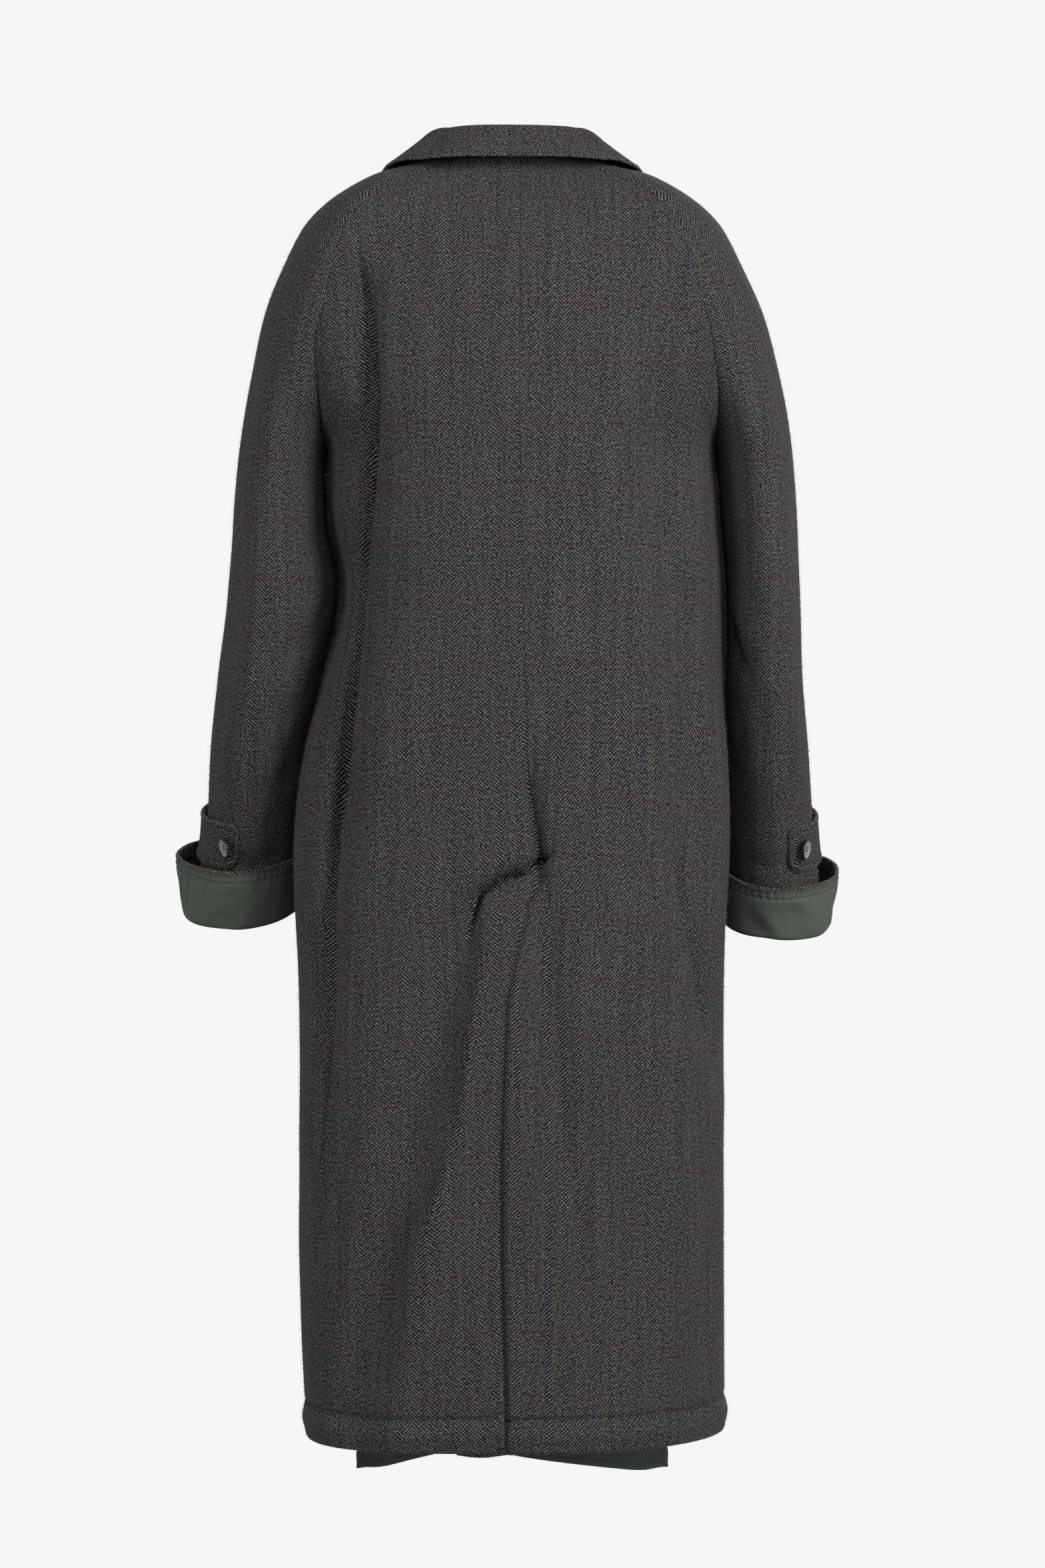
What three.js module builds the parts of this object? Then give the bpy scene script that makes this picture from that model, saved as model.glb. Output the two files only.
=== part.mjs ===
// A long wool overcoat, hollow, holding the shape of a wearer who isn't there.
// It has raglan sleeves with turned-back cotton cuffs and buttoned tabs, a turned-down collar,
// a centre-back seam that opens into a vent, and fronts that wrap over each other.
// Millimetres. +Z is up, +Y points out of the chest and +X to the wearer's right.
// The origin is in the middle of the neck, level with the shoulder line.
import * as THREE from "three";

// Driving sizes
const wall = 3; // wool with the cotton bonded to its inside
const seamGap = 0.4; // between two pieces at a seam
const hemDown = 1239; // the back hem, below the shoulder line
const frontDrop = 72; // how much lower the front corners hang
const frontLayer = 6.5; // how far the left front lies outside the right one
const frontStepFrom = 34; // it steps out this far before the right front's edge
const frontStepWide = 24;
const cuffHeight = 57; // turned-back cuff, fold to rim
const tabHeight = 47;
const tabThickness = 3.5;
const cuffButton = 20; // diameters
const frontButton = 25;

// How finely each piece is divided
const yokeSteps = 10; // neck to armpit
const skirtSteps = 15; // armpit to hem
const sleeveSteps = 11; // armpit to cuff
const panelColumns = { back: 16, front: 10 };
const sleeveColumns = 18;
const cuffColumns = 20;

// sleeveEnd, tabAlong: the cuff's fold and the tab's middle, down the over-arm line
// dropFrom, dropPower: how soon and how roundly the front hem drops towards its corner
const sides = [
  {
    name: "left", sign: -1, sleeveEnd: 841, cuffFlare: 20, tabAlong: 760, tabTurn: 0, buttonColumn: 1,
    dropFrom: 1.13, dropPower: 2.2,
  },
  {
    name: "right", sign: 1, sleeveEnd: 853, cuffFlare: 15, tabAlong: 764, tabTurn: 6, buttonColumn: 1.5,
    dropFrom: 1, dropPower: 1,
  },
];

// The sleeve, section by section. along: distance down the over-arm line from the neck.
// topX, topZ: that line. tilt: which way the line faces, in degrees above level.
// right, left: half of each sleeve's width. back, front: its reach behind and before midY.
// seamBack, seamFront: where the raglan seams cut the section, in degrees from the armpit line.
// backSlope, frontSlope: rise of the section per mm of Y. leftOut: the left arm's own sway.
const sleeveSections = [
  { along: 0, topX: 73, topZ: 4, tilt: 20, right: 20, left: 20, back: 46, front: 42, midY: -8, seamBack: 100, seamFront: 100, backSlope: -0.17, frontSlope: -0.48, leftOut: 0 },
  { along: 50, topX: 122, topZ: 1, tilt: 80, right: 26, left: 26, back: 92, front: 72, midY: -6, seamBack: 98, seamFront: 98, backSlope: 0, frontSlope: -0.3, leftOut: 0 },
  { along: 95, topX: 166, topZ: -7, tilt: 76, right: 44, left: 44, back: 116, front: 88, midY: -4, seamBack: 95, seamFront: 95, backSlope: 0, frontSlope: -0.16, leftOut: 0 },
  { along: 145, topX: 205, topZ: -42, tilt: 56, right: 60, left: 60, back: 124, front: 92, midY: -2, seamBack: 92, seamFront: 92, backSlope: 0, frontSlope: -0.09, leftOut: 0 },
  { along: 190, topX: 232, topZ: -92, tilt: 36, right: 58, left: 60, back: 122, front: 92, midY: -1, seamBack: 88, seamFront: 88, backSlope: 0, frontSlope: 0, leftOut: 0 },
  { along: 240, topX: 252, topZ: -140, tilt: 22, right: 57, left: 58, back: 116, front: 90, midY: 0, seamBack: 84, seamFront: 82, backSlope: 0, frontSlope: 0, leftOut: -2 },
  { along: 300, topX: 267, topZ: -200, tilt: 12, right: 48, left: 53, back: 108, front: 86, midY: 0, seamBack: 66, seamFront: 62, backSlope: 0, frontSlope: 0, leftOut: -5 },
  { along: 345, topX: 275, topZ: -243, tilt: 6, right: 41, left: 46, back: 103, front: 84, midY: 0, seamBack: 38, seamFront: 36, backSlope: 0, frontSlope: 0, leftOut: -6 },
  { along: 385, topX: 280, topZ: -282, tilt: 3, right: 37.5, left: 43.5, back: 99, front: 82, midY: 0, seamBack: 0, seamFront: 0, backSlope: 0, frontSlope: 0, leftOut: -6 },
  { along: 450, topX: 284, topZ: -345, tilt: 1, right: 36.5, left: 45.5, back: 95, front: 79, midY: -5, seamBack: 0, seamFront: 0, backSlope: 0.02, frontSlope: 0.02, leftOut: -6 },
  { along: 520, topX: 287, topZ: -415, tilt: 0, right: 35.5, left: 53, back: 89, front: 76, midY: -11, seamBack: 0, seamFront: 0, backSlope: 0.05, frontSlope: 0.05, leftOut: -4 },
  { along: 600, topX: 290, topZ: -495, tilt: -2, right: 37.5, left: 50.5, back: 79, front: 71, midY: -7, seamBack: 0, seamFront: 0, backSlope: 0.12, frontSlope: 0.12, leftOut: 4 },
  { along: 680, topX: 297, topZ: -572, tilt: -3, right: 42, left: 48, back: 70, front: 65, midY: 14, seamBack: 0, seamFront: 0, backSlope: 0.2, frontSlope: 0.2, leftOut: 7 },
  { along: 760, topX: 303, topZ: -648, tilt: -4, right: 44.5, left: 48, back: 63, front: 60, midY: 40, seamBack: 0, seamFront: 0, backSlope: 0.26, frontSlope: 0.26, leftOut: 6 },
  { along: 800, topX: 308, topZ: -686, tilt: -4, right: 46, left: 50.5, back: 61, front: 58, midY: 52, seamBack: 0, seamFront: 0, backSlope: 0.27, frontSlope: 0.27, leftOut: 9 },
  { along: 850, topX: 317, topZ: -733, tilt: -4, right: 51, left: 57, back: 60, front: 57, midY: 66, seamBack: 0, seamFront: 0, backSlope: 0.28, frontSlope: 0.28, leftOut: 15 },
  { along: 870, topX: 320.6, topZ: -752, tilt: -4, right: 53, left: 59.5, back: 60, front: 57, midY: 71, seamBack: 0, seamFront: 0, backSlope: 0.28, frontSlope: 0.28, leftOut: 17 },
];
const armpitAlong = 385;

// The trunk between neck and armpit: its middle line behind and before, at the same stations.
// spread: how much of the rounded-off section the panel takes up, 1 at the side seam.
const yokePower = 2.5;
const yokeRows = [
  { along: 0, backY: -76, backZ: 8, frontY: 60, frontZ: -68, spread: 0.75 },
  { along: 50, backY: -106, backZ: -28, frontY: 74, frontZ: -92, spread: 0.6 },
  { along: 95, backY: -126, backZ: -62, frontY: 86, frontZ: -118, spread: 0.55 },
  { along: 145, backY: -140, backZ: -100, frontY: 95, frontZ: -146, spread: 0.6 },
  { along: 190, backY: -149, backZ: -140, frontY: 102, frontZ: -172, spread: 0.67 },
  { along: 240, backY: -153, backZ: -185, frontY: 109, frontZ: -204, spread: 0.76 },
  { along: 300, backY: -156, backZ: -232, frontY: 114, frontZ: -241, spread: 0.87 },
  { along: 345, backY: -157.5, backZ: -262, frontY: 117, frontZ: -266, spread: 0.96 },
  { along: 385, backY: -158, backZ: -287, frontY: 119, frontZ: -287, spread: 1 },
];

// The trunk below the armpit: half widths to each side, its reach behind and before, and the
// powers of its rounded-off cross-section behind, to each side, and before: 2 is an ellipse,
// and more is squarer. bulge: how far the fronts swell sideways below the armpit.
const trunkSections = [
  { down: 287, right: 205, left: 187, back: 158, front: 119, powerRight: 2.5, powerLeft: 2.5, powerFront: 3, bulge: 0 },
  { down: 345, right: 207, left: 183, back: 161, front: 124, powerRight: 2.5, powerLeft: 2.5, powerFront: 3, bulge: 10 },
  { down: 400, right: 212, left: 171, back: 162, front: 128, powerRight: 2.5, powerLeft: 2.5, powerFront: 2.9, bulge: 12 },
  { down: 440, right: 212, left: 175, back: 163, front: 131, powerRight: 2.5, powerLeft: 2.5, powerFront: 2.9, bulge: 12 },
  { down: 495, right: 211, left: 189, back: 164, front: 135, powerRight: 2.5, powerLeft: 2.6, powerFront: 2.8, bulge: 10 },
  { down: 575, right: 209, left: 203, back: 165, front: 140, powerRight: 2.5, powerLeft: 2.7, powerFront: 2.7, bulge: 2 },
  { down: 650, right: 209, left: 208, back: 166, front: 145, powerRight: 2.5, powerLeft: 2.8, powerFront: 2.7, bulge: 0 },
  { down: 740, right: 211, left: 212, back: 168, front: 149, powerRight: 2.5, powerLeft: 3, powerFront: 2.7, bulge: 0 },
  { down: 850, right: 211, left: 212, back: 170, front: 153, powerRight: 2.5, powerLeft: 3.1, powerFront: 2.7, bulge: 0 },
  { down: 1050, right: 211, left: 211, back: 173, front: 157, powerRight: 2.4, powerLeft: 3.3, powerFront: 2.7, bulge: 0 },
  { down: 1239, right: 212, left: 205, back: 176, front: 160, powerRight: 2.3, powerLeft: 3.5, powerFront: 2.7, bulge: 0 },
];

// The centre-back line: the left panel's edge, how far the right panel runs under it in the
// vent, and how far it is sunk there.
const centreBack = [
  { down: -8, edge: 8, lap: 0, sink: 0 },
  { down: 200, edge: 7, lap: 0, sink: 0 },
  { down: 580, edge: 15, lap: 0, sink: 0 },
  { down: 674, edge: 26, lap: 0, sink: 8.8 },
  { down: 722, edge: 13, lap: 45, sink: 10 },
  { down: 822, edge: -7, lap: 45, sink: 7.5 },
  { down: 1000, edge: -12, lap: 45, sink: 7.5 },
  { down: 1239, edge: -7, lap: 46, sink: 7.5 },
];
const sinkFull = 8; // the right panel is fully sunk this near the vent's edge
const sinkReach = 45; // and level again this far from it

// How far each front runs past the centre line.
const frontLap = [
  { down: 60, lap: 38 },
  { down: 287, lap: 62 },
  { down: 700, lap: 108 },
  { down: 1239, lap: 162 },
];

// The largest folds, as soft troughs (depth over 0) and ridges (under 0) in the back,
// each along a curve through three points.
const folds = [
  { name: "left drape", x0: -143, z0: -130, x1: -150, z1: -460, x2: -190, z2: -820, width: 15, depth: 13 },
  { name: "right drape", x0: 148, z0: -230, x1: 160, z1: -470, x2: 194, z2: -820, width: 19, depth: 9 },
  { name: "left skirt trough", x0: -52, z0: -760, x1: -100, z1: -960, x2: -158, z2: -1200, width: 26, depth: 12 },
  { name: "left skirt ridge", x0: -26, z0: -740, x1: -62, z1: -940, x2: -112, z2: -1220, width: 16, depth: -6 },
  { name: "vent crease", x0: 27, z0: -672, x1: -12, z1: -696, x2: -38, z2: -722, width: 15, depth: 5 },
  { name: "seam crease", x0: 17, z0: -590, x1: 22, z1: -635, x2: 27, z2: -676, width: 8, depth: 5 },
  { name: "right skirt trough", x0: 24, z0: -610, x1: 36, z1: -790, x2: 54, z2: -980, width: 13, depth: 4 },
];
const foldFade = 30; // mm over which a fold runs out at its ends

// The collar round the neck, by the angle from the centre back. rise: height of the fold above
// the neck seam. foldOut, edgeOut: how far out the fold and the outer edge stand.
// edgeRise: height of that edge. spread: how far the collar point swings to the side.
const collarSections = [
  { angle: 0, rise: 37.5, foldOut: 5, edgeOut: 38, edgeRise: 0, spread: 0 },
  { angle: 50, rise: 36, foldOut: 7, edgeOut: 50, edgeRise: 1, spread: 0 },
  { angle: 90, rise: 32, foldOut: 9, edgeOut: 58, edgeRise: 5, spread: 0 },
  { angle: 112, rise: 27, foldOut: 9, edgeOut: 60, edgeRise: 0, spread: 0 },
  { angle: 130, rise: 22, foldOut: 8, edgeOut: 62, edgeRise: -16, spread: 0 },
  { angle: 160, rise: 14, foldOut: 7, edgeOut: 58, edgeRise: -48, spread: 12 },
  { angle: 180, rise: 11, foldOut: 7, edgeOut: 54, edgeRise: -64, spread: 30 },
];

const clamp01 = (v) => Math.min(1, Math.max(0, v));
const ease = (v) => clamp01(v) ** 2 * (3 - 2 * clamp01(v));
const rad = THREE.MathUtils.degToRad;

// A column of a table at any place: a smooth curve through its rows that never overshoots.
function read(table, key, column, at) {
  const last = table.length - 1;
  if (at <= table[0][key]) return table[0][column];
  if (at >= table[last][key]) return table[last][column];
  const i = table.findIndex((row) => row[key] > at) - 1;
  const rise = (k) =>
    (table[k + 1][column] - table[k][column]) / (table[k + 1][key] - table[k][key]);
  const tangent = (k) => {
    if (k === 0) return rise(0);
    if (k === last) return rise(last - 1);
    const [a, b] = [rise(k - 1), rise(k)];
    return a * b <= 0 ? 0 : (2 * a * b) / (a + b);
  };
  const step = table[i + 1][key] - table[i][key];
  const t = (at - table[i][key]) / step;
  const [p, q] = [table[i][column], table[i + 1][column]];
  return (
    p * (1 + 2 * t) * (1 - t) ** 2 + q * t * t * (3 - 2 * t) +
    step * t * (1 - t) * ((1 - t) * tangent(i) - t * tangent(i + 1))
  );
}

// How far the folds move the back inwards at a place seen from behind.
function foldDepth(x, z) {
  let depth = 0;
  for (const f of folds) {
    const t = clamp01((f.z0 - z) / (f.z0 - f.z2));
    const tm = (f.z0 - f.z1) / (f.z0 - f.z2);
    const line =
      (f.x0 * (t - tm) * (t - 1)) / tm +
      (f.x1 * t * (t - 1)) / (tm * (tm - 1)) +
      (f.x2 * t * (t - tm)) / (1 - tm);
    const steepness = Math.hypot(1, (f.x2 - f.x0) / (f.z0 - f.z2));
    const away = (x - line) / (f.width * steepness);
    const past = Math.max(z - f.z0, f.z2 - z, 0) / foldFade;
    depth += f.depth * Math.exp(-away * away - past * past);
  }
  return depth;
}

// A point moved by the folds: full on the back, none at the sides and the front.
const foldStart = 20;
const foldFull = 80;
function folded(p) {
  p.y += foldDepth(p.x, p.z) * ease((-p.y - foldStart) / (foldFull - foldStart));
  return p;
}

// A point of a sleeve. angle: degrees round it, from the armpit line by way of the back.
function sleevePoint(sign, along, angle) {
  const at = (column) => read(sleeveSections, "along", column, along);
  const [tilt, half] = [rad(at("tilt")), at(sign < 0 ? "left" : "right")];
  const [sin, cos] = [Math.sin(rad(angle)), Math.cos(rad(angle))];
  const out = -half * cos - half;
  const y = -sin * at(sin > 0 ? "back" : "front");
  const slope = at(sin > 0 ? "backSlope" : "frontSlope");
  const sway = sign < 0 ? at("leftOut") : 0;
  return folded(
    new THREE.Vector3(
      sign * (at("topX") + sway + out * Math.cos(tilt)),
      at("midY") + y,
      at("topZ") + out * Math.sin(tilt) + y * slope,
    ),
  );
}

// The rows of the trunk panels, from the neck to the armpit and on to the hem.
const stations = [];
for (let k = 0; k <= yokeSteps; k++) stations.push({ along: (k / yokeSteps) * armpitAlong });
for (let k = 1; k <= skirtSteps; k++) stations.push({ skirt: k / skirtSteps });
const armpitDown = -sleevePoint(1, armpitAlong, 0).z;

const nominalDown = (station) =>
  "skirt" in station
    ? armpitDown + (hemDown - armpitDown) * station.skirt
    : -read(yokeRows, "along", "backZ", station.along);

// Half a trunk section at a station: its middle and the seam where it ends at the side.
function halfSection(face, station, sign) {
  if ("skirt" in station) {
    const down = nominalDown(station);
    const middle = read(trunkSections, "down", face, down);
    const seamX = read(trunkSections, "down", sign < 0 ? "left" : "right", down);
    const behind = sign < 0 ? "powerLeft" : "powerRight";
    const power = read(trunkSections, "down", face === "back" ? behind : "powerFront", down);
    return {
      midY: face === "back" ? -middle : middle, midZ: -down, seamX, seamY: 0, seamZ: -down,
      spread: 1, power,
    };
  }
  const back = face === "back";
  const at = (column) => read(yokeRows, "along", column, station.along);
  const cut = read(sleeveSections, "along", back ? "seamBack" : "seamFront", station.along);
  const seam = sleevePoint(sign, station.along, back ? cut : 360 - cut);
  return {
    midY: at(back ? "backY" : "frontY"), midZ: at(back ? "backZ" : "frontZ"),
    seamX: Math.abs(seam.x), seamY: seam.y, seamZ: seam.z, spread: at("spread"), power: yokePower,
  };
}

// The edge of a panel at the centre line: the vent or seam behind, the front edge before.
function innerEdge(face, sign, station) {
  const down = nominalDown(station);
  if (face === "front") return -sign * read(frontLap, "down", "lap", down);
  const at = (column) => read(centreBack, "down", column, down);
  return sign < 0 ? at("edge") - seamGap / 2 : at("edge") - at("lap") + seamGap / 2;
}

// Where the fronts swell sideways: between these distances before the side seam.
const [swellStart, swellRise, swellEnd, swellFall] = [5, 40, 120, 60];

// A point of a trunk panel at x on a station's row.
function trunkPoint(face, sign, station, x) {
  const half = halfSection(face, station, x < 0 ? -1 : 1);
  const share = Math.abs(x) / half.seamX;
  const bulge = (u) => 1 - Math.max(0, 1 - (half.spread * u) ** half.power) ** (1 / half.power);
  const y = half.midY + ((half.seamY - half.midY) * bulge(share)) / bulge(1);
  let z = half.midZ + (half.seamZ - half.midZ) * share * share;
  if ("skirt" in station && face === "front") {
    const { dropFrom, dropPower } = sides.find((side) => side.sign === sign);
    const lap = read(frontLap, "down", "lap", hemDown);
    const from = clamp01((sign * x + lap) / (half.seamX + lap));
    z -= frontDrop * Math.max(0, 1 - (dropFrom * from) ** dropPower) * station.skirt;
    const swell = ease((y - swellStart) / swellRise) * ease((swellEnd - y) / swellFall);
    x += Math.sign(x) * read(trunkSections, "down", "bulge", nominalDown(station)) * swell;
  }
  return folded(new THREE.Vector3(x, y, z));
}

// Points along a curve, evenly spaced by length. curve(t) gives its point for t from 0 to 1.
const fineSteps = 96;
function evenly(curve, count) {
  const lengths = [0];
  for (let i = 1; i <= fineSteps; i++)
    lengths.push(lengths[i - 1] + curve(i / fineSteps).distanceTo(curve((i - 1) / fineSteps)));
  return Array.from({ length: count + 1 }, (_, c) => {
    const target = (lengths[fineSteps] * c) / count;
    const after = Math.max(1, lengths.findIndex((length) => length >= target - 1e-9));
    const part = (target - lengths[after - 1]) / (lengths[after] - lengths[after - 1]);
    return curve((after - 1 + part) / fineSteps);
  });
}

// A trunk panel's outer face, a row for each station, from the centre line to the side.
function trunkPanel(face, sign) {
  return stations.map((station) => {
    const down = nominalDown(station);
    const reach = (s) => {
      const half = halfSection(face, station, s);
      return half.seamX / half.spread;
    };
    const angleOf = (x) => Math.asin(clamp01(Math.abs(x) / reach(Math.sign(x)))) * Math.sign(x);
    const seam = halfSection(face, station, sign);
    const first = angleOf(innerEdge(face, sign, station));
    const last = angleOf(sign * seam.seamX);
    const row = evenly((t) => {
      const angle = first + (last - first) * t;
      const x = Math.sin(angle) * reach(Math.sign(angle) || sign);
      return trunkPoint(face, sign, station, x);
    }, panelColumns[face]);
    if (!("skirt" in station)) row.at(-1).set(sign * seam.seamX, seam.seamY, seam.seamZ);
    if (face === "back" && sign > 0) {
      const at = (column) => read(centreBack, "down", column, down);
      for (const p of row)
        p.y += at("sink") * ease((at("edge") + sinkReach - p.x) / (sinkReach - sinkFull));
    }
    if (face === "front" && sign < 0) {
      const lap = read(frontLap, "down", "lap", down);
      for (const p of row) p.y += frontLayer * ease((p.x + lap + frontStepFrom) / frontStepWide);
    }
    return row;
  });
}

// A sleeve's outer face, from the neck to the cuff, a row for each section.
function sleeveRows(side) {
  const alongs = stations.filter((s) => "along" in s).map((s) => s.along);
  for (let k = 1; k <= sleeveSteps; k++)
    alongs.push(armpitAlong + ((side.sleeveEnd - armpitAlong) * k) / sleeveSteps);
  return alongs.map((along) => {
    const from = read(sleeveSections, "along", "seamBack", along);
    const to = 360 - read(sleeveSections, "along", "seamFront", along);
    const row = [];
    for (let c = 0; c <= sleeveColumns; c++)
      row.push(sleevePoint(side.sign, along, from + ((to - from) * c) / sleeveColumns));
    return row;
  });
}

// The direction out of the cloth at each point of a grid. axis(row) is a point inside it.
function normalsOf(grid, axis, round = false) {
  const columns = grid[0].length;
  const normals = grid.map((row, r) =>
    row.map((p, c) => {
      const before = round ? (c + columns - 1) % columns : Math.max(0, c - 1);
      const after = round ? (c + 1) % columns : Math.min(columns - 1, c + 1);
      const across = row[after].clone().sub(row[before]);
      const rowAfter = grid[Math.min(grid.length - 1, r + 1)];
      const down = rowAfter[c].clone().sub(grid[Math.max(0, r - 1)][c]);
      return across.cross(down).normalize();
    }),
  );
  let outward = 0;
  grid.forEach((row, r) =>
    row.forEach((p, c) => (outward += normals[r][c].dot(p.clone().sub(axis(r))))),
  );
  if (outward < 0) normals.forEach((row) => row.forEach((n) => n.negate()));
  return normals;
}

// Both pieces at a seam take the same direction there, so that their ends stay parallel.
function share(a, b) {
  a.add(b).normalize();
  b.copy(a);
}

// Draws a grid's side edge back from its seam.
function openSeam(grid, column, next) {
  for (const row of grid)
    row[column].add(row[next].clone().sub(row[column]).setLength(seamGap / 2));
}

const offsetGrid = (grid, normals, by) =>
  grid.map((row, r) => row.map((p, c) => p.clone().addScaledVector(normals[r][c], by)));

// A closed wall between two grids. round: the columns run all the way round.
function wallBetween(outer, inner, round = false) {
  const [rows, columns] = [outer.length, outer[0].length];
  const points = [...outer.flat(), ...inner.flat()];
  const id = (r, c, layer) => layer * rows * columns + r * columns + (c % columns);
  const faces = [];
  const quad = (a, b, c, d) => faces.push([a, b, c], [a, c, d]);
  const spans = round ? columns : columns - 1;
  for (let r = 0; r < rows - 1; r++)
    for (let c = 0; c < spans; c++) {
      quad(id(r, c, 0), id(r, c + 1, 0), id(r + 1, c + 1, 0), id(r + 1, c, 0));
      quad(id(r, c, 1), id(r + 1, c, 1), id(r + 1, c + 1, 1), id(r, c + 1, 1));
    }
  for (let c = 0; c < spans; c++) {
    quad(id(0, c, 0), id(0, c, 1), id(0, c + 1, 1), id(0, c + 1, 0));
    quad(id(rows - 1, c, 0), id(rows - 1, c + 1, 0), id(rows - 1, c + 1, 1), id(rows - 1, c, 1));
  }
  for (let r = 0; r < rows - 1 && !round; r++) {
    quad(id(r, 0, 0), id(r + 1, 0, 0), id(r + 1, 0, 1), id(r, 0, 1));
    const end = columns - 1;
    quad(id(r, end, 0), id(r, end, 1), id(r + 1, end, 1), id(r + 1, end, 0));
  }
  const volume = faces.reduce(
    (sum, [a, b, c]) => sum + points[a].dot(points[b].clone().cross(points[c])), 0,
  );
  const turned = volume < 0 ? faces.map(([a, b, c]) => [a, c, b]) : faces;
  const geometry = new THREE.BufferGeometry().setFromPoints(points);
  geometry.setIndex(turned.flat());
  geometry.computeVertexNormals();
  return geometry;
}

const cloth = (color, roughness = 0.95) =>
  new THREE.MeshStandardMaterial({ color, roughness, metalness: 0 });
const wool = cloth(0x4a4847);
const cotton = cloth(0x3f4640, 0.85);
const horn = cloth(0x6b7573, 0.4);

const coat = new THREE.Group();
function add(name, geometry, material) {
  const mesh = new THREE.Mesh(geometry, material);
  mesh.name = name;
  coat.add(mesh);
  return mesh;
}

// Panels and sleeves: outer faces, directions, shared seams, then walls
const trunkAxis = (grid) => (r) => new THREE.Vector3(0, 0, grid[r][0].z);
const sleeveAxis = (grid) => (r) => {
  const centre = grid[r].reduce((sum, p) => sum.add(p), new THREE.Vector3());
  return centre.divideScalar(grid[r].length);
};

const pieces = {};
for (const side of sides) {
  for (const face of ["back", "front"]) {
    const grid = trunkPanel(face, side.sign);
    pieces[face + "_" + side.name] = { grid, normals: normalsOf(grid, trunkAxis(grid)) };
  }
  const grid = sleeveRows(side);
  pieces["sleeve_" + side.name] = { grid, normals: normalsOf(grid, sleeveAxis(grid)) };
}

for (const { name } of sides) {
  const [back, front, sleeve] = ["back_", "front_", "sleeve_"].map((p) => pieces[p + name]);
  const armpit = [back.normals, front.normals].map((n) => n[yokeSteps].at(-1));
  armpit.push(sleeve.normals[yokeSteps][0], sleeve.normals[yokeSteps][sleeveColumns]);
  for (let r = 0; r < yokeSteps; r++) {
    share(back.normals[r].at(-1), sleeve.normals[r][0]);
    share(front.normals[r].at(-1), sleeve.normals[r].at(-1));
  }
  for (let r = yokeSteps + 1; r < stations.length; r++)
    share(back.normals[r].at(-1), front.normals[r].at(-1));
  for (let r = yokeSteps + 1; r < sleeve.grid.length; r++)
    share(sleeve.normals[r][0], sleeve.normals[r].at(-1));
  armpit.forEach((n) => n.set(0, 0, -1)); // the cloth turns right over at the armpit
  openSeam(back.grid, panelColumns.back, panelColumns.back - 1);
  openSeam(front.grid, panelColumns.front, panelColumns.front - 1);
  openSeam(sleeve.grid, 0, 1);
  openSeam(sleeve.grid, sleeveColumns, sleeveColumns - 1);
}

for (const [name, piece] of Object.entries(pieces)) {
  piece.inner = offsetGrid(piece.grid, piece.normals, -wall);
  add(name, wallBetween(piece.grid, piece.inner), wool);
}

// The collar stands on the neck edges of the fronts, sleeves and backs, folds and falls.
const collarClear = 3; // the collar ends this far from the centre front
function neckEdge() {
  const edge = [];
  const take = (name, columns) => {
    const { grid, inner, normals } = pieces[name];
    for (const c of columns) {
      const normal = normals[0][c];
      const along = grid[0][c].clone().sub(grid[1][c]);
      const up = along.addScaledVector(normal, -along.dot(normal)).normalize();
      const point = grid[0][c].clone().lerp(inner[0][c], 0.5).addScaledVector(up, seamGap);
      edge.push({ point, normal, up });
    }
  };
  const upTo = (n) => Array.from({ length: n }, (_, i) => i);
  const everyOther = (n) => upTo(n / 2 + 1).map((i) => 2 * i);
  const beyond = (name, sign) =>
    upTo(panelColumns.front).filter((c) => pieces[name].grid[0][c].x * sign > collarClear);
  take("front_left", beyond("front_left", -1));
  take("sleeve_left", everyOther(sleeveColumns).reverse());
  take("back_left", everyOther(panelColumns.back).slice(0, -1).reverse());
  take("back_right", everyOther(panelColumns.back).slice(1, -1));
  take("sleeve_right", everyOther(sleeveColumns));
  take("front_right", beyond("front_right", 1).reverse());
  return edge;
}

// The collar's profile: shares of the way out and up from the neck seam over the fold.
const neckTurn = 2; // the seam allowance that turns up into the stand
const standSteps = [
  { out: 0.05, up: 0.4 },
  { out: 0.3, up: 0.84 },
  { out: 0.65, up: 1 },
];
const fallSteps = [
  { out: 0.13, down: 0.05 },
  { out: 0.34, down: 0.28 },
  { out: 0.67, down: 0.64 },
  { out: 1, down: 1 },
];
const neckCentre = new THREE.Vector3(0, -8, 0);
const collarGrid = (() => {
  const base = neckEdge();
  const profiles = base.map(({ point, up }) => {
    const out = point.clone().sub(neckCentre).setZ(0).normalize();
    const angle = THREE.MathUtils.radToDeg(Math.acos(THREE.MathUtils.clamp(-out.y, -1, 1)));
    const at = (column) => read(collarSections, "angle", column, angle);
    const place = (far, high, swing) => {
      const moved = point.clone().addScaledVector(out, far);
      moved.x += Math.sign(point.x) * swing;
      moved.z += high;
      return moved;
    };
    const foot = point.clone().addScaledVector(up, neckTurn);
    const stand = standSteps.map((s) => place(at("foldOut") * s.out, at("rise") * s.up, 0));
    const fall = fallSteps.map((s) =>
      place(
        THREE.MathUtils.lerp(at("foldOut"), at("edgeOut"), s.out),
        THREE.MathUtils.lerp(at("rise"), at("edgeRise"), s.down),
        at("spread") * s.down,
      ),
    );
    return [point, foot, ...stand, ...fall];
  });
  return profiles[0].map((_, r) => profiles.map((profile) => profile[r]));
})();
const collarNormals = normalsOf(collarGrid, () => new THREE.Vector3(0, -8, 20));
neckEdge().forEach(({ normal }, c) => collarNormals[0][c].copy(normal));
add(
  "collar",
  wallBetween(
    offsetGrid(collarGrid, collarNormals, wall / 2),
    offsetGrid(collarGrid, collarNormals, -wall / 2),
  ),
  wool,
);

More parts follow.
